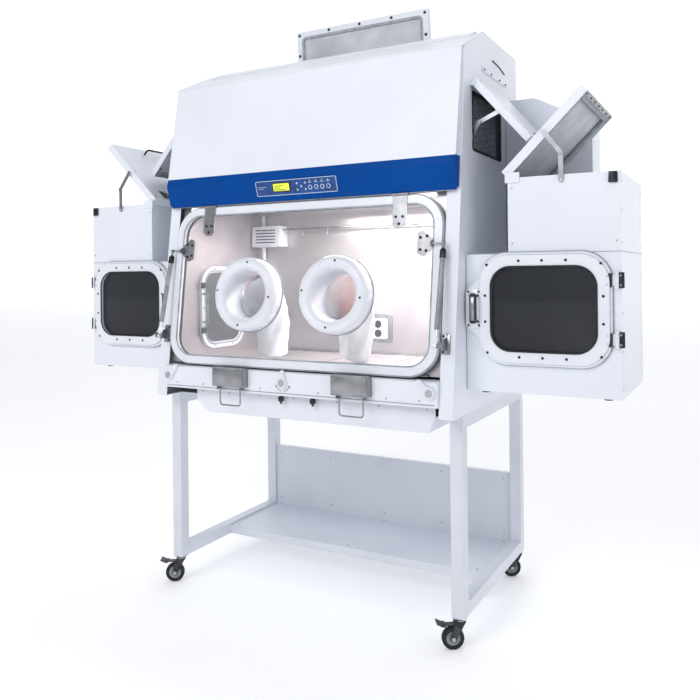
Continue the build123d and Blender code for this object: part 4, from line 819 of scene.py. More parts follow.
class GLOVEBOX_OT_fascia(bpy.types.Operator):
    """Control panel with its screen, keys and lamps, and the fascia's trim"""
    bl_idname = "glovebox.fascia"
    bl_label = "Fascia"

    def execute(self, context):
        low, high = side_box("control_panel")
        mid_x = (low[0] + high[0]) / 2
        slope = atan2(high[1] - low[1], high[2] - low[2])
        mid = Vector((mid_x, (low[1] + high[1]) / 2, (low[2] + high[2]) / 2))
        out = Vector((0, -cos(slope), -sin(slope)))

        def panel(x, up, proud=0.9):
            """A place on the panel: from its middle, up its slope, proud of its face."""
            return basis(mid + out * proud, (1, 0, 0), out) @ Matrix.Translation((x * MM, up * MM, 0))

        frame_ring = plate("panel_border", 356, 58, 1.6, 6, 2.2, 0.4)
        done(put(frame_ring, panel(0, 0)), "cabinet", "pale ink")
        bezel = plate("screen_bezel", 80, 36, 2.0, 3, 4, 0.6)
        done(put(bezel, panel(-63, 2)), "cabinet", "black moulded nylon and painted shade")
        screen = plate("screen", 72, 28, 1.2, 1.5, edge=0.3)
        done(put(screen, panel(-63, 2)), "cabinet", "liquid crystal screen")
        bars = []
        for row, (length, up) in enumerate(((44, 7), (30, 0), (52, -7))):
            bars += [put(plate("cell", 2.6, 4.2, 0.3, edge=0), panel(-94 + 4.2 * i, up, 2.15))
                     for i in range(int(length / 4.2))]
        done(joined(bars, "screen_bars"), "cabinet", "black moulded nylon and painted shade")
        # round keys with raised rings, and four arrow keys
        keys = [put(turned("key", [(8.5, 0), (8.5, 1.2), (7.8, 1.8), (6.6, 1.8), (6.0, 1.2), (0, 1.2)],
                           around=24), panel(x, -6)) for x in (64, 90, 116, 142)]
        done(joined(keys, "round_keys"), "cabinet", "pale ink")
        caps = [put(turned("cap", [(5.8, 0), (5.8, 1.7), (5.2, 2.1), (0, 2.1)], around=24), panel(x, -6))
                for x in (64, 90, 116, 142)]
        done(joined(caps, "key_caps"), "cabinet", "keypad film blue")
        arrows = [put(turned("arrow", [(5.4, 0), (5.4, 1.2), (4.4, 1.7), (0, 1.7)], around=3),
                      panel(x, up) @ Matrix.Rotation(radians(turn), 4, "Z"))
                  for x, up, turn in ((8, 12, 90), (8, -12, 270), (26, 0, 0), (44, 12, 90), (44, -12, 270))]
        done(joined(arrows, "arrow_keys"), "cabinet", "pale ink", smooth=20)
        lines = [put(plate("line", w, 1.4, 0.3, edge=0), panel(x, up)) for w, x, up in
                 ((40, -150, 6), (26, -157, -1), (16, 64, 12), (16, 90, 12), (16, 116, 12),
                  (16, 142, 12))]
        done(joined(lines, "panel_lines"), "cabinet", "pale ink")
        lamps = [put(turned("lamp", [(2.2, 0), (2.2, 0.8), (1.6, 1.4), (0, 1.6)], around=12), panel(x, 17))
                 for x in (64, 90, 116, 142)]
        done(joined(lamps, "panel_lamps"), "cabinet", "liquid crystal screen")
        # trim under the fascia
        trim = rod("fascia_trim", [(-HALF + 16, FRONT - 4, HEAD - 3), (HALF - 16, FRONT - 4, HEAD - 3)], 1.6)
        done(trim, "cabinet", "brushed stainless")
        return {"FINISHED"}


class GLOVEBOX_OT_chamber(bpy.types.Operator):
    """Lamp, sockets, pipe, bracket, perforated strips and grips inside the chamber"""
    bl_idname = "glovebox.chamber"
    bl_label = "Chamber"

    def execute(self, context):
        back = CHAMBER_BACK - 2.2
        lamp = block("chamber_lamp", 1080, 60, 14, 4)
        done(put(lamp, level(0, FRONT + 50, HEAD - 3.5, down=True)), "cabinet", "lit opal acrylic")
        rail = block("lamp_rail", 1100, 8, 22, 1.5)
        done(put(rail, level(0, FRONT + 86, HEAD - 3.0, down=True)), "cabinet",
             "brushed stainless")
        # socket plate on the back wall: plate, ring, blank outlet wells
        base = plate("socket_plate", 126, 124, 4, 8, edge=1.2)
        done(put(base, facing(54, back, 1031)), "cabinet", "brushed stainless")
        lid = plate("socket_lid", 84, 88, 10, 7, edge=2.0)
        done(put(lid, facing(54, back - 4, 1031)), "cabinet", "gel coat white")
        wells = [put(turned("well", [(17, 0), (17, 2.5), (15, 4), (12.5, 4), (12, 1), (0, 1)], around=32),
                     facing(54, back - 14, 1031 + d)) for d in (-20, 20)]
        done(joined(wells, "socket_wells"), "cabinet", "black moulded nylon and painted shade")
        screws("socket_screws", [facing(54 + dx, back - 4, 1031 + dz) for dx in (-56, 56)
                                 for dz in (-54, 54)], "cabinet", r=4)
        # gas taps on the back wall near the sockets
        for i, x in enumerate((-120, -190)):
            tap = turned(f"gas_tap_{i}", [(19, 0), (19, 4), (15, 6), (8, 8), (8, 30), (11, 32), (11, 40),
                                          (6, 44), (6, 62), (4, 64), (0, 64)], around=24)
            done(put(tap, facing(x, back, 1100)), "cabinet", "zinc screw")
        # instrument box at the upper left with its pipe
        case = block("instrument_box", 160, 70, 96, 4, 0.96)
        at = basis((-498, back - 35, 1400), (1, 0, 0), (0, 0, 1))
        done(put(case, at), "cabinet", "gel coat white")
        # the vent slots are black strips on the face: painted shade of the openings
        slots = [put(plate("slot", 110, 5, 1.6, 2.2, edge=0.4), facing(-498, back - 69.2, 1420 + 14 * i))
                 for i in range(5)]
        done(joined(slots, "instrument_slot_shade"), "cabinet", "black moulded nylon and painted shade")
        pipe = rod("chamber_pipe", [(-545, back - 16, 1545), (-545, back - 16, 1010),
                                    (-541, back - 18, 996), (-530, back - 22, 990),
                                    (-490, back - 24, 988)], 9, round_steps=5)
        done(pipe, "cabinet", "moulded white PVC", smooth=60)
        clips = [put(block("clip", 30, 12, 12, 2), facing(-545, back - 6, z)) for z in (1100, 1300, 1480)]
        done(joined(clips, "pipe_clips"), "cabinet", "brushed stainless")
        # a hanging rail with hooks along the back wall
        rail = rod("hanging_rail", [(-430, back - 4, 1478), (-430, back - 40, 1478), (470, back - 40, 1478),
                                    (470, back - 4, 1478)], 5, round_steps=4)
        done(rail, "cabinet", "brushed stainless", smooth=60)
        hooks = [rod("hook", [(x, back - 40, 1484), (x, back - 46, 1480), (x, back - 45, 1452),
                              (x, back - 52, 1442), (x, back - 62, 1446), (x, back - 64, 1456)], 2)
                 for x in (-300, -180, 260, 380)]
        done(joined(hooks, "rail_hooks"), "cabinet", "brushed stainless", smooth=60)
        # perforated air grilles along the front and the back of the work surface
        for name, y in (("front", FRONT - 40), ("back", back - 34)):
            strip = plate(f"air_grille_{name}", 1080, 56, 3, 4, edge=1.0)
            done(put(strip, level(0, y, FLOOR + 0.2)), "cabinet", "brushed stainless")
            # the holes are black discs on the strip: painted shade of the openings
            holes = [put(turned("hole", [(4.6, 0), (4.6, 0.5), (0, 0.5)], around=8),
                         level(x + (9 if row % 2 else 0), y + dy, FLOOR + 3.0))
                     for row, dy in enumerate((-15, 0, 15)) for x in range(-520, 521, 26)]
            done(joined(holes, f"grille_hole_shade_{name}"), "cabinet", "black moulded nylon and painted shade")
        # work tray seams
        seams = [put(plate("seam", 2.5, 300, 0.6, edge=0), level(x, 60, FLOOR + 0.2)) for x in (-270, 0, 270)]
        done(joined(seams, "tray_seams"), "cabinet", "black oxide steel")
        # grab bar at the right of the window, inside
        bar = rod("inside_grip", [(572, FRONT - 34, 1187), (548, FRONT - 34, 1187), (542, FRONT - 34, 1181),
                                  (542, FRONT - 34, 1081), (548, FRONT - 34, 1075),
                                  (572, FRONT - 34, 1075)], 6, round_steps=4)
        done(bar, "cabinet", "brushed stainless", smooth=60)
        # inner doors: dark panes, pads and bars
        for name, s in SIDES:
            door = f"inner_door_{name}"
            low, high = side_box(door)
            face = low[0] if s > 0 else high[0]
            pane = plate(f"inner_pane_{name}", 240, 300, 2, 58, edge=0.5)
            done(put(pane, sideways(-s, face + s * 4.6, PASSAGE_Y, PASSAGE_Z)), door,
                 "smoked acrylic")
            ring = plate(f"inner_seal_{name}", 262, 322, 3, 66, 7, 0.8, 12)
            done(put(ring, sideways(-s, face, PASSAGE_Y, PASSAGE_Z)), door, "grey silicone seal")
            screws(f"inner_screws_{name}",
                   [sideways(-s, face, PASSAGE_Y + dy, PASSAGE_Z + dz) for dy, dz in
                    ((-137, -80), (-137, 0), (-137, 80), (137, -120), (137, 0), (137, 120),
                     (-60, -167), (60, -167), (-60, 167), (60, 167))], door, r=3.6)
            bar = rod(f"inner_bar_{name}", [(face - s * 2, PASSAGE_Y - 142, PASSAGE_Z - 60),
                                            (face - s * 26, PASSAGE_Y - 142, PASSAGE_Z - 60),
                                            (face - s * 26, PASSAGE_Y - 142, PASSAGE_Z + 60),
                                            (face - s * 2, PASSAGE_Y - 142, PASSAGE_Z + 60)],
                      5, round_steps=4)
            done(bar, door, "brushed stainless", smooth=60)
            pads = [put(block("pad", 26, 26, 12, 3, 0.85), sideways(-s, face - s * 0.2, PASSAGE_Y - 142,
                                                                   PASSAGE_Z + d)) for d in (-96, 96)]
            done(joined(pads, f"inner_pads_{name}"), door, "black moulded nylon and painted shade")
        return {"FINISHED"}


class GLOVEBOX_OT_passes(bpy.types.Operator):
    """Door seals, screws, catches, hinges and window rims of the pass chambers, and their seams"""
    bl_idname = "glovebox.passes"
    bl_label = "Pass chambers"

    def execute(self, context):
        for name, s in SIDES:
            door = f"pass_door_{name}"
            x = s * DOOR_X
            rim_face = DOOR_FACE - 7
            seal = plate(f"door_seal_{name}", 436, 376, 4.5, 99, 11, 1.5, 14)
            done(put(seal, facing(x, BOX_FRONT + 1.8, DOOR_Z)), "cabinet", "grey foam seal")
            bead = plate(f"pane_bead_{name}", 345, 282, 3.0, 69, 6, 0.9, 14)
            done(put(bead, facing(x, rim_face, DOOR_Z)), door, "black nitrile rubber")
            line = plate(f"door_line_{name}", 417, 354, 1.0, 94, 2.2, 0.3, 14)
            done(put(line, facing(x, rim_face + 6.8, DOOR_Z)), door, "grey silicone seal")
            ring = []
            for i in range(14):
                a = 2 * pi * i / 14 + pi / 14
                across, up = abs(cos(a)) / 189.0, abs(sin(a)) / 157.0
                reach = (0.965 if abs(across - up) < 0.0012 else 1) / max(across, up)
                ring.append(facing(x + cos(a) * reach, rim_face, DOOR_Z + sin(a) * reach))
            screws(f"door_screws_{name}", ring, door, "black oxide steel", r=4.4, h=2.4)
            # catch plate with its upright grip
            edge = DOOR_X - 214
            plate_x = s * (edge - 16)
            catch = plate(f"catch_plate_{name}", 56, 132, 4, 14, edge=1.2, round_steps=1)
            done(put(catch, facing(plate_x, DOOR_FACE - 0.2, DOOR_Z)), door, "gel coat white")
            low, high = side_box(f"door_handle_{name}")
            hx, face = (low[0] + high[0]) / 2, low[1]
            paddle = block(f"catch_paddle_{name}", 18, 84, 5, 2, 0.8)
            done(put(paddle, facing(hx, face + 0.4, DOOR_Z)), f"door_handle_{name}",
                 "brushed stainless")
            pull = rod(f"catch_grip_{name}", [(hx + s * 17, DOOR_FACE - 4, DOOR_Z + 44),
                                              (hx + s * 17, DOOR_FACE - 28, DOOR_Z + 40),
                                              (hx + s * 17, DOOR_FACE - 30, DOOR_Z + 34),
                                              (hx + s * 17, DOOR_FACE - 30, DOOR_Z - 34),
                                              (hx + s * 17, DOOR_FACE - 28, DOOR_Z - 40),
                                              (hx + s * 17, DOOR_FACE - 4, DOOR_Z - 44)], 4.2, round_steps=4)
            done(pull, door, "black moulded nylon and painted shade", smooth=60)
            screws(f"catch_screws_{name}", [facing(plate_x + dx, DOOR_FACE - 4.2, DOOR_Z + dz)
                                            for dx in (-18, 18) for dz in (-56, 56)], door,
                   "black oxide steel", r=3.6)
            # hinges: a dark leaf on the door and a dark block on the chamber
            axis_x = s * (DOOR_X + 214 + 12)
            for z in (DOOR_Z + 92, DOOR_Z - 92):
                up = "high" if z > DOOR_Z else "low"
                leaf = plate(f"hinge_leaf_{name}_{up}", 30, 44, 5, 5, edge=1.5)
                done(put(leaf, facing(axis_x - s * 26, DOOR_FACE, z)), door,
                     "black oxide steel")
                screws(f"hinge_leaf_screws_{name}_{up}",
                       [facing(axis_x - s * 26, DOOR_FACE - 5, z + d) for d in (-13, 13)], door, r=3.6)
                wing = plate(f"hinge_wing_{name}_{up}", 22, 50, 6, 4, edge=1.5)
                done(put(wing, facing(axis_x + s * 12, BOX_FRONT - 0.1, z)), "cabinet",
                     "black oxide steel")
                screws(f"hinge_wing_screws_{name}_{up}",
                       [facing(axis_x + s * 12, BOX_FRONT - 6.1, z + d) for d in (-15, 15)], "cabinet", r=3.6)
            # seam between the chamber and the housing, and small rivets down the edges
            lines = [put(plate("seam", 499, 2.4, 0.8, edge=0), facing(s * (BOX_IN + BOX_OUT) / 2,
                                                                      BOX_FRONT - 0.05, SEAM)),
                     put(plate("seam", 468, 2.4, 0.8, edge=0), sideways(s, s * BOX_OUT + s * 0.05,
                                                                        (BOX_FRONT + BOX_REAR) / 2, SEAM)),
                     put(plate("seam", 499, 2.4, 0.8, edge=0), backing(s * (BOX_IN + BOX_OUT) / 2,
                                                                       BOX_REAR + 0.05, SEAM))]
            done(joined(lines, f"box_seams_{name}"), "cabinet", "grey silicone seal")
            screws(f"box_screws_{name}",
                   [sideways(s, s * BOX_OUT, BOX_FRONT + dy, z) for dy in (18, 450) for z in
                    (900, 1020, 1140, 1260, 1360, 1460, 1550)] +
                   [facing(s * (HOUSING_IN + dx), BOX_FRONT, z) for dx in (14, 342) for z in (1365, 1545)],
                   "cabinet", "zinc screw", r=3.0, h=1.6)
            feet = [put(turned("foot", [(16, 0), (16, 6), (13, 10), (0, 10)], around=20),
                        level(s * fx, fy, 872.2, down=True)) for fx in (BOX_IN + 50, BOX_OUT - 50)
                    for fy in (BOX_FRONT + 50, BOX_REAR - 50)]
            done(joined(feet, f"box_feet_{name}"), "cabinet", "black nitrile rubber")
            # shelf rails and a shelf in the chamber
            rails = [put(block("rail", 8, 400, 14, 1.5), level(s * rx, (BOX_FRONT + BOX_REAR) / 2, 940))
                     for rx in (BOX_IN + 12, BOX_OUT - 12)]
            done(joined(rails, f"tray_rails_{name}"), "cabinet", "brushed stainless")
            tray = plate(f"pass_tray_{name}", 470, 410, 4, 4, edge=1.2)
            done(put(tray, level(s * (BOX_IN + BOX_OUT) / 2, (BOX_FRONT + BOX_REAR) / 2 + 4, 954)), "cabinet",
                 "brushed stainless")
            # air filter seat in the upper housing
            filt = block(f"housing_filter_{name}", 330, 440, 120, 3)
            done(put(filt, level(s * (HOUSING_IN + BOX_OUT) / 2, (BOX_FRONT + BOX_REAR) / 2, 1340)),
                 "cabinet", "pleated filter paper")
        return {"FINISHED"}


class GLOVEBOX_OT_lids(bpy.types.Operator):
    """Seals, linings, handles and hinge plates of the lids, covers and hatch"""
    bl_idname = "glovebox.lids"
    bl_label = "Lids and covers"

    def execute(self, context):
        pitch = context.scene.glovebox_sizes.mesh_pitch / MM
        for name, s in SIDES:
            lid = f"pass_lid_{name}"
            seal = plate(f"lid_seal_{name}", 344, 448, 9, 20, 22, 2.5, 8)
            done(put(seal, lid_place(s, 176, 0, -1)), lid,
                 "grey foam seal")
            lining = plate(f"lid_lining_{name}", 318, 420, 4, 12, edge=1.2)
            done(put(lining, lid_place(s, 176, 0, 14)), lid, "grey lining paint")
            strip = plate(f"lid_strip_{name}", 16, 452, 3, 2, edge=0.8)
            done(put(strip, lid_place(s, 349, 0, -4)), lid, "brushed stainless")
            screws(f"lid_strip_screws_{name}",
                   [lid_place(s, 349, d, -4) @ Matrix.Rotation(pi, 4, "X") for d in
                    (-210, -140, -70, 0, 70, 140, 210)], lid, "black oxide steel", r=3.6, h=2.2)
            grip = rod(f"lid_grip_{name}", [(0, -55, 0), (0, -55, 22), (0, -49, 28), (0, 49, 28),
                                            (0, 55, 22), (0, 55, 0)], 4.5, round_steps=4)
            done(put(grip, lid_place(s, 322, 0, 25)), lid, "black moulded nylon and painted shade", smooth=60)
            screws(f"lid_top_screws_{name}", [lid_place(s, u, v, 25) for u in (14, 176, 338)
                                              for v in (-218, 218)], lid, r=3.4, h=1.8)
            for v in (-150, 150):
                leaf = plate(f"lid_leaf_{name}_{'a' if v < 0 else 'b'}", 46, 52, 3, 5, edge=0.8)
                done(put(leaf, lid_place(s, 26, v, 25)), lid, "brushed stainless")
                screws(f"lid_leaf_screws_{name}_{'a' if v < 0 else 'b'}",
                       [lid_place(s, 34, v + d, 28) for d in (-14, 14)], lid, "black oxide steel", r=4)
            # catch at the outer top corner of the housing
            hook = block(f"lid_catch_{name}", 28, 8, 34, 2.5, 0.9)
            done(put(hook, basis((s * (BOX_OUT - 22), BOX_FRONT - 4.2, BOX_TOP - 36), (1, 0, 0), (0, 0, 1))),
                 "cabinet", "black oxide steel")
            # side cover
            cover = f"side_cover_{name}"
            pad = plate(f"cover_lining_{name}", 270, 346, 4, 8, edge=1.0)
            done(put(pad, cover_place(s, 143, 0, 19)), cover, "grey lining paint")
            seal = plate(f"cover_seal_{name}", 284, 362, 5, 8, 10, 1.5)
            done(put(seal, cover_place(s, 143, 0, 12)), cover, "grey foam seal")
            well = plate(f"cover_grip_{name}", 34, 120, 3, 14, 5, 1.2)
            done(put(well, cover_place(s, 262, 0, 26)), cover, "black moulded nylon and painted shade")
            screws(f"cover_screws_{name}", [cover_place(s, u, v, 26) for u in (16, 150, 274)
                                            for v in (-172, 172)], cover, r=3.4, h=1.8)
            screws(f"cover_inside_screws_{name}",
                   [cover_place(s, u, v, 19) @ Matrix.Rotation(pi, 4, "X") for u in (30, 255)
                    for v in (-150, 150)], cover, "black oxide steel", r=4, h=2)
            # guard over the side filter: a diamond lattice in a flat frame
            nothing_selected()
            bpy.ops.mesh.primitive_grid_add(x_subdivisions=int(420 / pitch), y_subdivisions=int(420 / pitch),
                                            size=0.42)
            guard = bpy.context.object
            guard.name = f"filter_guard_{name}"
            bpy.ops.object.mode_set(mode="EDIT")
            bpy.ops.mesh.select_all(action="SELECT")
            bpy.ops.transform.rotate(value=radians(45), orient_axis="Z", center_override=(0, 0, 0))
            for co, no in (((0.137, 0, 0), (1, 0, 0)), ((-0.137, 0, 0), (-1, 0, 0)),
                           ((0, 0.099, 0), (0, 1, 0)), ((0, -0.099, 0), (0, -1, 0))):
                bpy.ops.mesh.select_all(action="SELECT")
                bpy.ops.mesh.bisect(plane_co=co, plane_no=no, clear_outer=True)
            bpy.ops.object.mode_set(mode="OBJECT")
            modifier(guard, "WIREFRAME", thickness=0.0016, use_replace=True)
            done(put(guard, sideways(s, s * (HALF - 12), FRONT + 311, 1802.5)), "cabinet",
                 "brushed stainless")
            rim = plate(f"service_rim_{name}", 331, 211, 2.5, 12, 9, 0.8)
            done(put(rim, sideways(s, s * HALF, FRONT + 292.5, 1802.5)), "cabinet",
                 "black nitrile rubber")
            # catch rail above the side opening, and the curved slot over it
            rail = plate(f"side_rail_{name}", 296, 18, 3, 3, edge=0.8)
            done(put(rail, sideways(s, s * HALF, FRONT + 390, 2010)), "cabinet", "powder coat white")
            screws(f"side_rail_screws_{name}", [sideways(s, s * (HALF + 3), FRONT + 390 + d, 2010)
                                                for d in (-130, -50, 50, 130)], "cabinet",
                   "black oxide steel", r=3.8)
            slot = [(s * (HALF + 0.6), FRONT + 361 + 151 * t, 2067 - 18 * t * t) for t in
                    (0, 0.125, 0.25, 0.375, 0.5, 0.625, 0.75, 0.875, 1)]
            done(rod(f"side_slot_{name}", slot, 2.6), "cabinet", "black nitrile rubber")
        # hatch
        seal = plate("hatch_seal", 600, 172, 6, 24, 16, 1.8)
        done(put(seal, hatch_place(0, -106, -3)), "top_hatch", "grey foam seal")
        lining = plate("hatch_lining", 566, 138, 3, 14, edge=0.8)
        done(put(lining, hatch_place(0, -106, 0.5)), "top_hatch", "grey lining paint")
        bolts = [hatch_place(x, y, -4) @ Matrix.Rotation(pi, 4, "X") for x, y in
                 ((-306, -196), (-153, -200), (0, -200), (153, -200), (306, -196), (-308, -106),
                  (308, -106), (-306, -20), (-100, -14), (100, -14), (306, -20))]
        screws("hatch_bolts", bolts, "top_hatch", "black oxide steel", r=6, h=4)
        for x in (-220, 220):
            knob = turned(f"hatch_knob_{'a' if x < 0 else 'b'}", [(12, 0), (12, 3), (6, 5), (6, 12), (13, 15),
                                                                  (14, 24), (11, 28), (0, 29)], around=24)
            done(put(knob, hatch_place(x, -196, 22)), "top_hatch", "black moulded nylon and painted shade")
        latch = block("hatch_latch", 46, 18, 14, 2.5, 0.9)
        done(put(latch, level(292, FRONT + 296, TOP + 2.2)), "cabinet", "black oxide steel")
        rim = plate("hatch_mouth", 608, 180, 3, 30, 12, 1.0)
        done(put(rim, level(0, FRONT + 411, TOP + 2.2)), "cabinet", "black nitrile rubber")
        slope = atan2(100, 196)
        sloped = basis((0, FRONT + 62 + 150, TOP - 100 + 76), (1, 0, 0), (0, -sin(slope), cos(slope)))
        screws("ridge_screws", [sloped @ Matrix.Translation((x * MM, 0.006, 0.0035)) for x in
                                range(-540, 541, 108)], "cabinet", r=3.6, h=1.8)
        return {"FINISHED"}


class GLOVEBOX_OT_stand(bpy.types.Operator):
    """Feet, welds and wheel fittings of the stand"""
    bl_idname = "glovebox.stand"
    bl_label = "Stand and casters"

    def execute(self, context):
        legs = [(x, y) for y in (FRONT + 22.5, FRONT + 707.5) for x in (-HALF + 22.5, HALF - 22.5)]
        names = ("front_left", "front_right", "rear_left", "rear_right")
        trail = Vector((cos(radians(212)), sin(radians(212)), 0))
        across = Vector((trail.y, -trail.x, 0))
        welds = []
        for x, y in legs:
            for z in (152.5, 745):
                inside = -1 if y > FRONT + 300 else 1
                welds.append(rod("weld", [(x - 20, y + inside * 23, z), (x + 20, y + inside * 23, z)], 2.2))
        done(joined(welds, "stand_welds"), "cabinet", "powder coat stand", smooth=60)
        screws("shelf_screws", [level(x, y, 142) for x in (-560, 0, 560) for y in (FRONT + 350, FRONT + 690)],
               "cabinet", r=4.2, h=2)
        lip = rod("shelf_hem", [(-588, FRONT + 327, 141), (588, FRONT + 327, 141)], 1.8)
        done(lip, "cabinet", "powder coat stand", smooth=60)
        screws("rear_panel_screws", [facing(x, FRONT + 696, z) for x in (-560, -280, 0, 280, 560)
                                     for z in (175, 400)], "cabinet", r=3.8, h=1.8)
        for (x, y), name in zip(legs, names):
            base = plate(f"caster_plate_{name}", 42, 42, 3.5, 5, edge=0.8)
            done(put(base, level(x, y, 107.2, down=True)), "cabinet", "dark caster coat")
            screws(f"caster_plate_screws_{name}",
                   [level(x + dx, y + dy, 103.7, down=True) for dx in (-15, 15) for dy in (-15, 15)],
                   "cabinet", r=2.8, h=1.4)
            race = turned(f"caster_race_{name}", [(17.4, 0), (19, 1.5), (19, 4), (17.4, 5.5)], closed=True,
                          around=32)
            done(put(race, level(x, y, 96.8)), f"caster_fork_{name}", "zinc screw")
            hub = Vector((x, y, 38)) + trail * 26
            for side in (-1, 1):
                facing_out = basis(hub + across * side * 11, trail, across * side)
                tag = "a" if side < 0 else "b"
                cap = turned(f"wheel_hub_{name}_{tag}",
                             [(24.5, -3.6), (24.5, -2.2), (22, -1.2), (20, -2.4), (11, -2.4), (10, -0.4),
                              (4.3, -0.4), (4.3, -3.6)], closed=True, around=32)
                done(put(cap, facing_out), f"caster_wheel_{name}", "grey strut paint")
                nut = turned(f"axle_nut_{name}_{tag}", [(8, 0), (8, 4), (6.6, 5.5), (4, 5.5), (3.6, 8),
                                                        (0, 8.4)], around=6)
                out = basis(hub + across * side * 15.6, trail, across * side)
                done(put(nut, out), f"caster_fork_{name}", "zinc screw", smooth=20)
            beads = [put(turned("bead", [(32.5, -0.6), (33.6, 0.7), (35.4, 0.7), (36.4, -0.6)], closed=True,
                                around=48), basis(hub + across * side * 11, trail, across * side))
                     for side in (-1, 1)]
            done(joined(beads, f"tyre_beads_{name}"), f"caster_wheel_{name}", "black nitrile rubber")
            if name.startswith("front"):
                at = basis(Vector((x, y, 0)) + trail * 66, trail, (0, 0, 1))
                ribs = [put(plate("rib", 3, 36, 1.6, edge=0.4),
                            at @ Matrix.Translation((d * MM, 0, (86.2 + max(0, d) * 0.32) * MM)))
                        for d in (-6, 0)]
                done(joined(ribs, f"pedal_ribs_{name}"), f"caster_pedal_{name}", "black moulded nylon and painted shade")
        # back of the cabinet: two bolted panels, a power inlet and duct collars
        for i, (low, high) in enumerate(((810, 1500), (1530, 2110))):
            panel = plate(f"back_panel_{i}", 1180, high - low, 2.5, 10, edge=0.9)
            done(put(panel, backing(0, CAB_REAR + 0.1, (low + high) / 2)), "cabinet",
                 "powder coat white")
            screws(f"back_panel_screws_{i}", [backing(x, CAB_REAR + 2.6, z) for x in (-570, -285, 0, 285, 570)
                                              for z in (low + 18, high - 18)], "cabinet", r=4.2, h=2.2)
        inlet = plate("power_inlet", 60, 44, 5, 4, edge=1.0)
        done(put(inlet, backing(-480, CAB_REAR + 2.6, 870)), "cabinet", "black moulded nylon and painted shade")
        well = plate("inlet_well", 34, 24, 8, 5, 3, 0.8)
        done(put(well, backing(-480, CAB_REAR + 7.6, 870)), "cabinet", "black moulded nylon and painted shade")
        vents = [put(plate("louvre", 150, 7, 6, 3, edge=1.2), backing(360, CAB_REAR + 2.6, 1640 + 20 * i))
                 for i in range(12)]
        done(joined(vents, "back_louvres"), "cabinet", "powder coat white")
        for name, s in SIDES:
            low, high = side_box("rear_ducts")
            flange = plate(f"duct_flange_{name}", 12, 560, 3, 2, edge=0.8)
            done(put(flange, backing(s * (HALF + 12), high[1] + 0.1, 1640)), "cabinet",
                 "powder coat white")
            screws(f"duct_screws_{name}",
                   [backing(s * (HALF + 12), high[1] + 3.1, z) for z in (1380, 1510, 1640, 1770, 1900)] +
                   [sideways(s, s * (HALF + 332), FRONT + 560, z) for z in (1370, 1500, 1630, 1760)],
                   "cabinet", r=3.4, h=1.8)
        return {"FINISHED"}


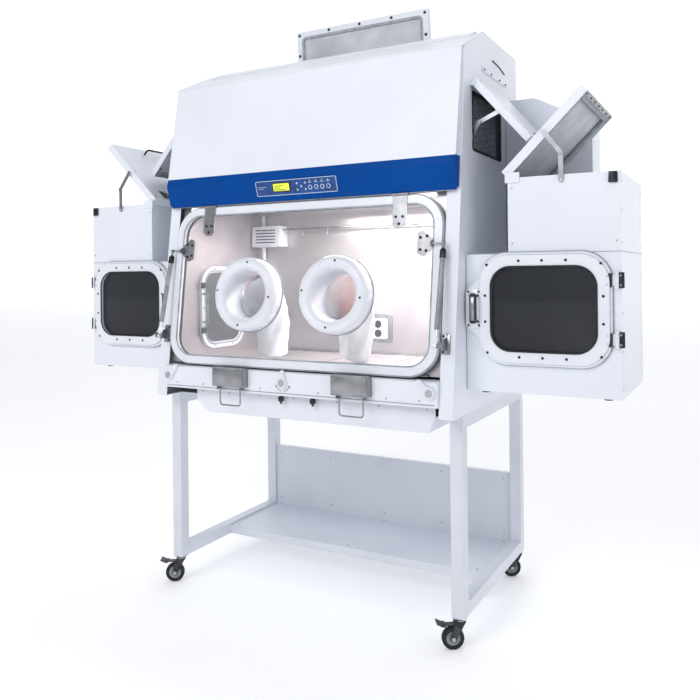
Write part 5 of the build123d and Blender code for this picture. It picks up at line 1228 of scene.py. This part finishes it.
class GLOVEBOX_OT_stage(bpy.types.Operator):
    """Pale floor, soft studio light and the camera"""
    bl_idname = "glovebox.stage"
    bl_label = "Stage"

    def execute(self, context):
        nothing_selected()
        bpy.ops.mesh.primitive_plane_add(size=60, location=(0, 0, 0))
        floor = bpy.context.object
        floor.name = "studio_floor"
        floor.data.materials.append(MATERIALS["seamless white paper"])
        bpy.ops.object.select_all(action="DESELECT")
        bpy.ops.mesh.primitive_plane_add(size=90, location=(0, 22, 30), rotation=(pi / 2, 0, 0))
        cloth = bpy.context.object
        cloth.name = "studio_backdrop"
        cloth.data.materials.append(MATERIALS["lit white cloth"])
        world = bpy.data.worlds.new("studio")
        context.scene.world = world
        world.use_nodes = True
        world.node_tree.nodes["Background"].inputs["Color"].default_value = (0.94, 0.96, 1.0, 1)
        world.node_tree.nodes["Background"].inputs["Strength"].default_value = 0.5
        for label, spot, aim, size, power in (
                ("key", (-0.9, -5.6, 4.4), (0.1, 0, 1.2), 3.0, 140),
                ("fill", (8.0, -3.6, 3.4), (0.4, 0, 1.2), 4.0, 80),
                ("back", (-1.0, 4.4, 4.6), (0, 0, 1.4), 3.0, 8)):
            lamp = bpy.data.lights.new(label, "AREA")
            lamp.size, lamp.energy = size, power
            obj = bpy.data.objects.new(label, lamp)
            context.collection.objects.link(obj)
            obj.location = spot
            obj.rotation_euler = (Vector(aim) - Vector(spot)).to_track_quat("-Z", "Y").to_euler()
        # the chamber's own lamp
        lamp = bpy.data.lights.new("chamber", "AREA")
        lamp.shape, lamp.size, lamp.size_y = "RECTANGLE", 0.75, 0.22
        lamp.energy = context.scene.glovebox_sizes.lamp_power
        lamp.color = (1.0, 0.95, 0.93)
        obj = bpy.data.objects.new("chamber", lamp)
        context.collection.objects.link(obj)
        obj.location = (0.2, 0.0, (HEAD - 24) * MM)
        camera = bpy.data.cameras.new("camera")
        camera.sensor_width, camera.lens = 36.0, 38.30
        camera.shift_x, camera.shift_y = 0.0, -0.1081
        camera.clip_end = 100
        obj = bpy.data.objects.new("camera", camera)
        context.collection.objects.link(obj)
        obj.location = (1.5013, -2.6618, 1.2686)
        turn = Matrix.Rotation(0.4993, 4, "Z") @ Matrix.Rotation(pi / 2, 4, "X") @ Matrix.Rotation(
            -0.0101, 4, "Z")
        obj.rotation_euler = turn.to_euler()
        context.scene.camera = obj
        context.scene.view_settings.view_transform = "Standard"
        return {"FINISHED"}


class GLOVEBOX_PT_panel(bpy.types.Panel):
    """Lists the glove box's pieces and settings"""
    bl_label = "Glove box"
    bl_idname = "GLOVEBOX_PT_panel"
    bl_space_type = "VIEW_3D"
    bl_region_type = "UI"
    bl_category = "Glove box"

    def draw(self, context):
        scene = context.scene
        for group in (scene.glovebox_colours, scene.glovebox_sizes):
            for key in type(group).__annotations__:
                self.layout.prop(group, key)
        for operator in OPERATORS:
            self.layout.operator(operator.bl_idname)


OPERATORS = (GLOVEBOX_OT_finishes, GLOVEBOX_OT_stage, GLOVEBOX_OT_window, GLOVEBOX_OT_sleeves,
             GLOVEBOX_OT_ledge, GLOVEBOX_OT_fascia, GLOVEBOX_OT_chamber, GLOVEBOX_OT_passes,
             GLOVEBOX_OT_lids, GLOVEBOX_OT_stand)
CLASSES = (GloveBoxColours, GloveBoxSizes, *OPERATORS, GLOVEBOX_PT_panel)


def register():
    for cls in CLASSES:
        bpy.utils.register_class(cls)
    bpy.types.Scene.glovebox_colours = bpy.props.PointerProperty(type=GloveBoxColours)
    bpy.types.Scene.glovebox_sizes = bpy.props.PointerProperty(type=GloveBoxSizes)


def unregister():
    del bpy.types.Scene.glovebox_sizes
    del bpy.types.Scene.glovebox_colours
    for cls in reversed(CLASSES):
        bpy.utils.unregister_class(cls)


def main():
    register()
    for operator in OPERATORS:
        group, name = operator.bl_idname.split(".")
        getattr(getattr(bpy.ops, group), name)()


if __name__ == "__main__":
    main()
